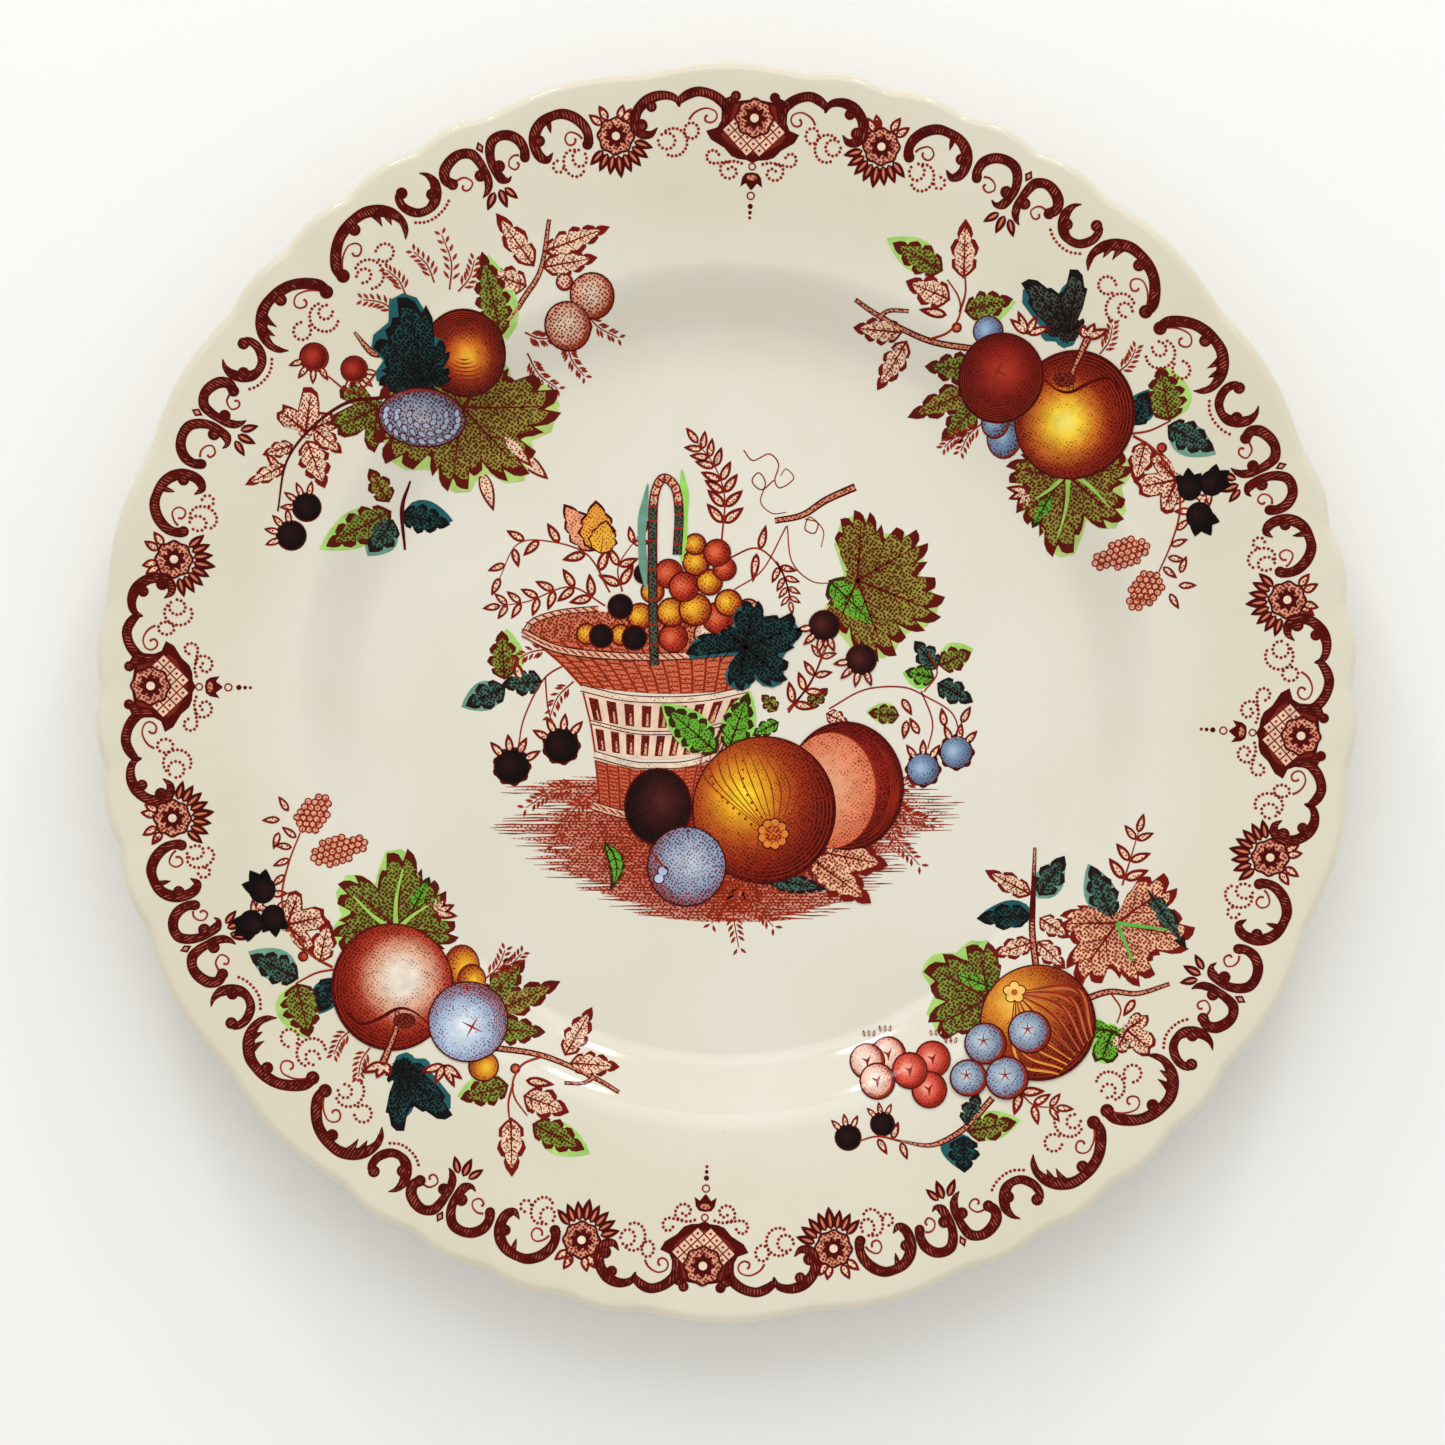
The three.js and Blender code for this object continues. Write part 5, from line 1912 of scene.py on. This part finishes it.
def rim_leaves(p):
    """Leaves that hang over the rim."""
    p.level = 22.5
    vine(
        p, (4.0, 9.8), 13.0, 22, "dark",
        ((0, 1.0, 42), (-62, 0.86, 42), (58, 0.8, 42), (-122, 0.72, 42), (168, 0.98, 46), (118, 0.5, 36)),
        18, slip=(-0.4, -0.5)
    )
    berry(p, (20.6, 14.4), 3.2, DARK_PLUM, 240)
    berry(p, (28.4, 7.2), 3.2, DARK_PLUM, 240)
    leaf(p, (-2.0, -12.4), (-13.2, -2.6), 7.4, "lime", 6, slip=(-0.6, 0.6))
    leaf(p, (0.4, -12.0), (4.6, 0.2), 6.8, "lime", 5, slip=(0.4, 0.4))


def ground_fruit(p):
    """The great fruit on the ground."""
    p.level = 25
    fruit(p, (25.0, -19.6), 12.2, 13.6, RED_PLUM, (0.1, 0.1), (0.1, 0.5), 8)
    cheek = (22.0, -20.4), 9.6, 12.2
    p.fill(ring(*cheek, 40), shaded(*cheek, PEACH_CHEEK, (0.0, 0.1), (0.03, 0.18)), sub=4, pitch=1.4)
    p.line(arc(*cheek, -80, 110, 24), (0.1, 0.5, 0.1), sub=6)
    for k in range(4):
        shade = arc((23.6, -19.8), 11.0 + 0.5 * k, 12.8, -60 + 6 * k, 60 - 8 * k, 18)
        p.line(shade, (0.06, 0.34, 0.06), sub=5)
    leaf(p, (17.4, -34.4), (30.4, -44.2), 8.6, "rust", 5)
    leaf(p, (20.0, -33.4), (34.0, -36.2), 8.8, "rust", 5)
    leaf(p, (8.4, -39.0), (21.0, -41.2), 4.4, "teal", 6)
    leaf(p, (-25.6, -31.4), (-24.6, -41.6), 3.6, "lime", 5, bend=0.2)
    p.level = 28
    fruit(p, (7.9, -24.5), 15.0, 15.4, ORANGE, (-0.28, 0.2), (0.0, 0.5), 9)
    navel = np.array([9.8, -29.6])
    for k in range(-5, 6):
        bow = np.array([0.86, -0.1]) * k * 2.3
        rib = spline([navel + bow * 0.12, (5.4, -19.0) + bow, (2.6, -10.6) + bow * 0.72], 8)
        p.line(rib, (0.12, 0.3, 0.05), sub=5)
    for side in (-1, 1):
        seam = [navel + (side * 1.6 - 3, 2.0), (1.0 + side * 3.0, -20.6), (-0.4 + side * 3.8, -14.2)]
        p.beads(spline(seam, 8), 1.5, 0.34, 0.26)
    blossom(p, navel, 9, 0, 2.3, 1.2, srgb(226, 132, 52), 6, 10)
    p.fill(ring(navel, 1.9, count=12), flat(srgb(206, 104, 40), 0.4), sub=8, pitch=COARSE)
    p.level = 31
    fruit(p, (-14.4, -23.8), 7.0, 8.0, DARK_PLUM, (0.1, 0.15), (0.0, 0.3), 0)
    p.level = 32.5
    fruit(p, (-8.4, -36.4), 8.2, 8.3, PALE_PLUM, (0.1, 0.1), (0.12, 0.36), 5)
    p.line(spline([(-16.0, -33.0), (-14.2, -35.4), (-12.4, -37.2)]), (0.2, 0.6, 0.2), sub=6)
    for spot in ((-13.4, -37.4), (-14.2, -39.0)):
        p.dot(spot, 1.25, sub=5, sides=14)
        p.fill(ring(spot, 0.95, count=12), flat(srgb(184, 200, 226)), sub=6, pitch=COARSE)


def draw_centre():
    """The basket, with its fruit and sprigs, on the engraved ground."""
    p = Print()
    draw_ground(p, np.random.default_rng(11))
    ground_ferns(p)
    sprigs_behind(p)
    left_berries(p)
    right_sprays(p)
    basket(p)
    basket_fruit(p)
    basket_handle(p)
    rim_leaves(p)
    ground_fruit(p)
    p.build("centre", "centre_transfer", 0, WELL_SPREAD)


# ---- The backstamp: a plain wreath ----


def draw_backstamp():
    """Two sprigs round a floret, printed inside the foot."""
    p = Print()
    for side in (1, -1):
        sprig(p, [(0, -9.5), (side * 7.5, -6.5), (side * 9.2, 1.0), (side * 5.4, 7.8)], 7, 4.4, 44)
    floret(p, (0, 0.2), 4.2, 90)
    for name, sheet, material in (
        ("backstamp_lines", p.ink, INK_MATERIAL),
        ("backstamp_tints", p.enamel, ENAMEL_MATERIAL),
    ):
        add_piece(name, sheet.under_foot_well(name), material, ["backstamp_transfer"])


build_plate()
draw_borders()
draw_apple_spray(
    "spray_ne", "spray_transfer_ne", 0, APPLE, RED_PLUM, 8.8, BLUE_BERRY, (0.0, 0.1), "olive", "smoke"
)
draw_apple_spray(
    "spray_sw", "spray_transfer_sw", 183.2, ROSY, BLUE_PLUM, 8.2, YELLOW_GRAPE, (0.1, 0.15), "green", "dark"
)
draw_berry_spray()
draw_melon_spray()
draw_centre()
draw_backstamp()

# ---- Floor, lights and camera ----

FLOOR_HALF = 4.0  # Lengths in this section are in metres.
FLOOR_LEVEL = -0.0002
WORLD_COLOUR = (1, 0.99, 0.97, 1)
WORLD_STRENGTH = 0.76
PHOTO_WIDTH = 0.3045  # how much the picture takes in at the height of the rim
PHOTO_CENTRE = (-0.00086, -0.00735)
CAMERA_DISTANCE = 1.35
CAMERA_TILT = math.radians(4)
CLIP_START = 0.05
SENSOR = 36  # in millimetres


def area_light(name, bearing, height, distance, size, power):
    """A soft box aimed at the plate: bearing and height in degrees, distance and size in metres, watts."""
    a, e = math.radians(bearing), math.radians(height)
    place = Vector((math.cos(e) * math.cos(a), math.cos(e) * math.sin(a), math.sin(e))) * distance
    data = bpy.data.lights.new(name, "AREA")
    data.shape = "RECTANGLE"
    data.size, data.size_y = size
    data.energy = power
    light = bpy.data.objects.new(name, data)
    light.location = place
    light.rotation_euler = (-place).to_track_quat("-Z", "Y").to_euler()
    bpy.context.scene.collection.objects.link(light)


def build_stage():
    """A white floor, an even sky, and a broad light and two small windows past the plate's top edge."""
    mesh = bpy.data.meshes.new("floor")
    corners = [(x * FLOOR_HALF, y * FLOOR_HALF, FLOOR_LEVEL) for x, y in ((-1, -1), (1, -1), (1, 1), (-1, 1))]
    mesh.from_pydata(corners, [], [(0, 1, 2, 3)])
    mesh.materials.append(Nodes("floor_paper").finish(srgb(250, 250, 248), 0.9))
    floor = bpy.data.objects.new("floor", mesh)
    bpy.context.scene.collection.objects.link(floor)

    world = bpy.data.worlds.new("studio")
    world.use_nodes = True
    background = world.node_tree.nodes["Background"].inputs
    background["Color"].default_value = WORLD_COLOUR
    background["Strength"].default_value = WORLD_STRENGTH
    bpy.context.scene.world = world
    area_light("key_north", 92, 52, 2.2, (2.0, 1.4), 10)
    area_light("window_right", 70.7, 24, 1.5, (0.16, 0.2), 2.5)
    area_light("window_left", 109.9, 24, 1.5, (0.16, 0.2), 2.5)


def build_camera():
    """A long lens above the plate, a little towards its lower edge."""
    data = bpy.data.cameras.new("camera")
    data.sensor_width = SENSOR
    data.lens = SENSOR * CAMERA_DISTANCE / PHOTO_WIDTH
    data.clip_start = CLIP_START
    camera = bpy.data.objects.new("camera", data)
    target = Vector((*PHOTO_CENTRE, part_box("glaze_coat")[1].z))
    back = Vector((0, -math.sin(CAMERA_TILT), math.cos(CAMERA_TILT)))
    camera.location = target + back * CAMERA_DISTANCE
    camera.rotation_euler = back.to_track_quat("Z", "Y").to_euler()
    bpy.context.scene.collection.objects.link(camera)
    bpy.context.scene.camera = camera


build_stage()
build_camera()
bpy.context.scene.view_settings.view_transform = "Standard"
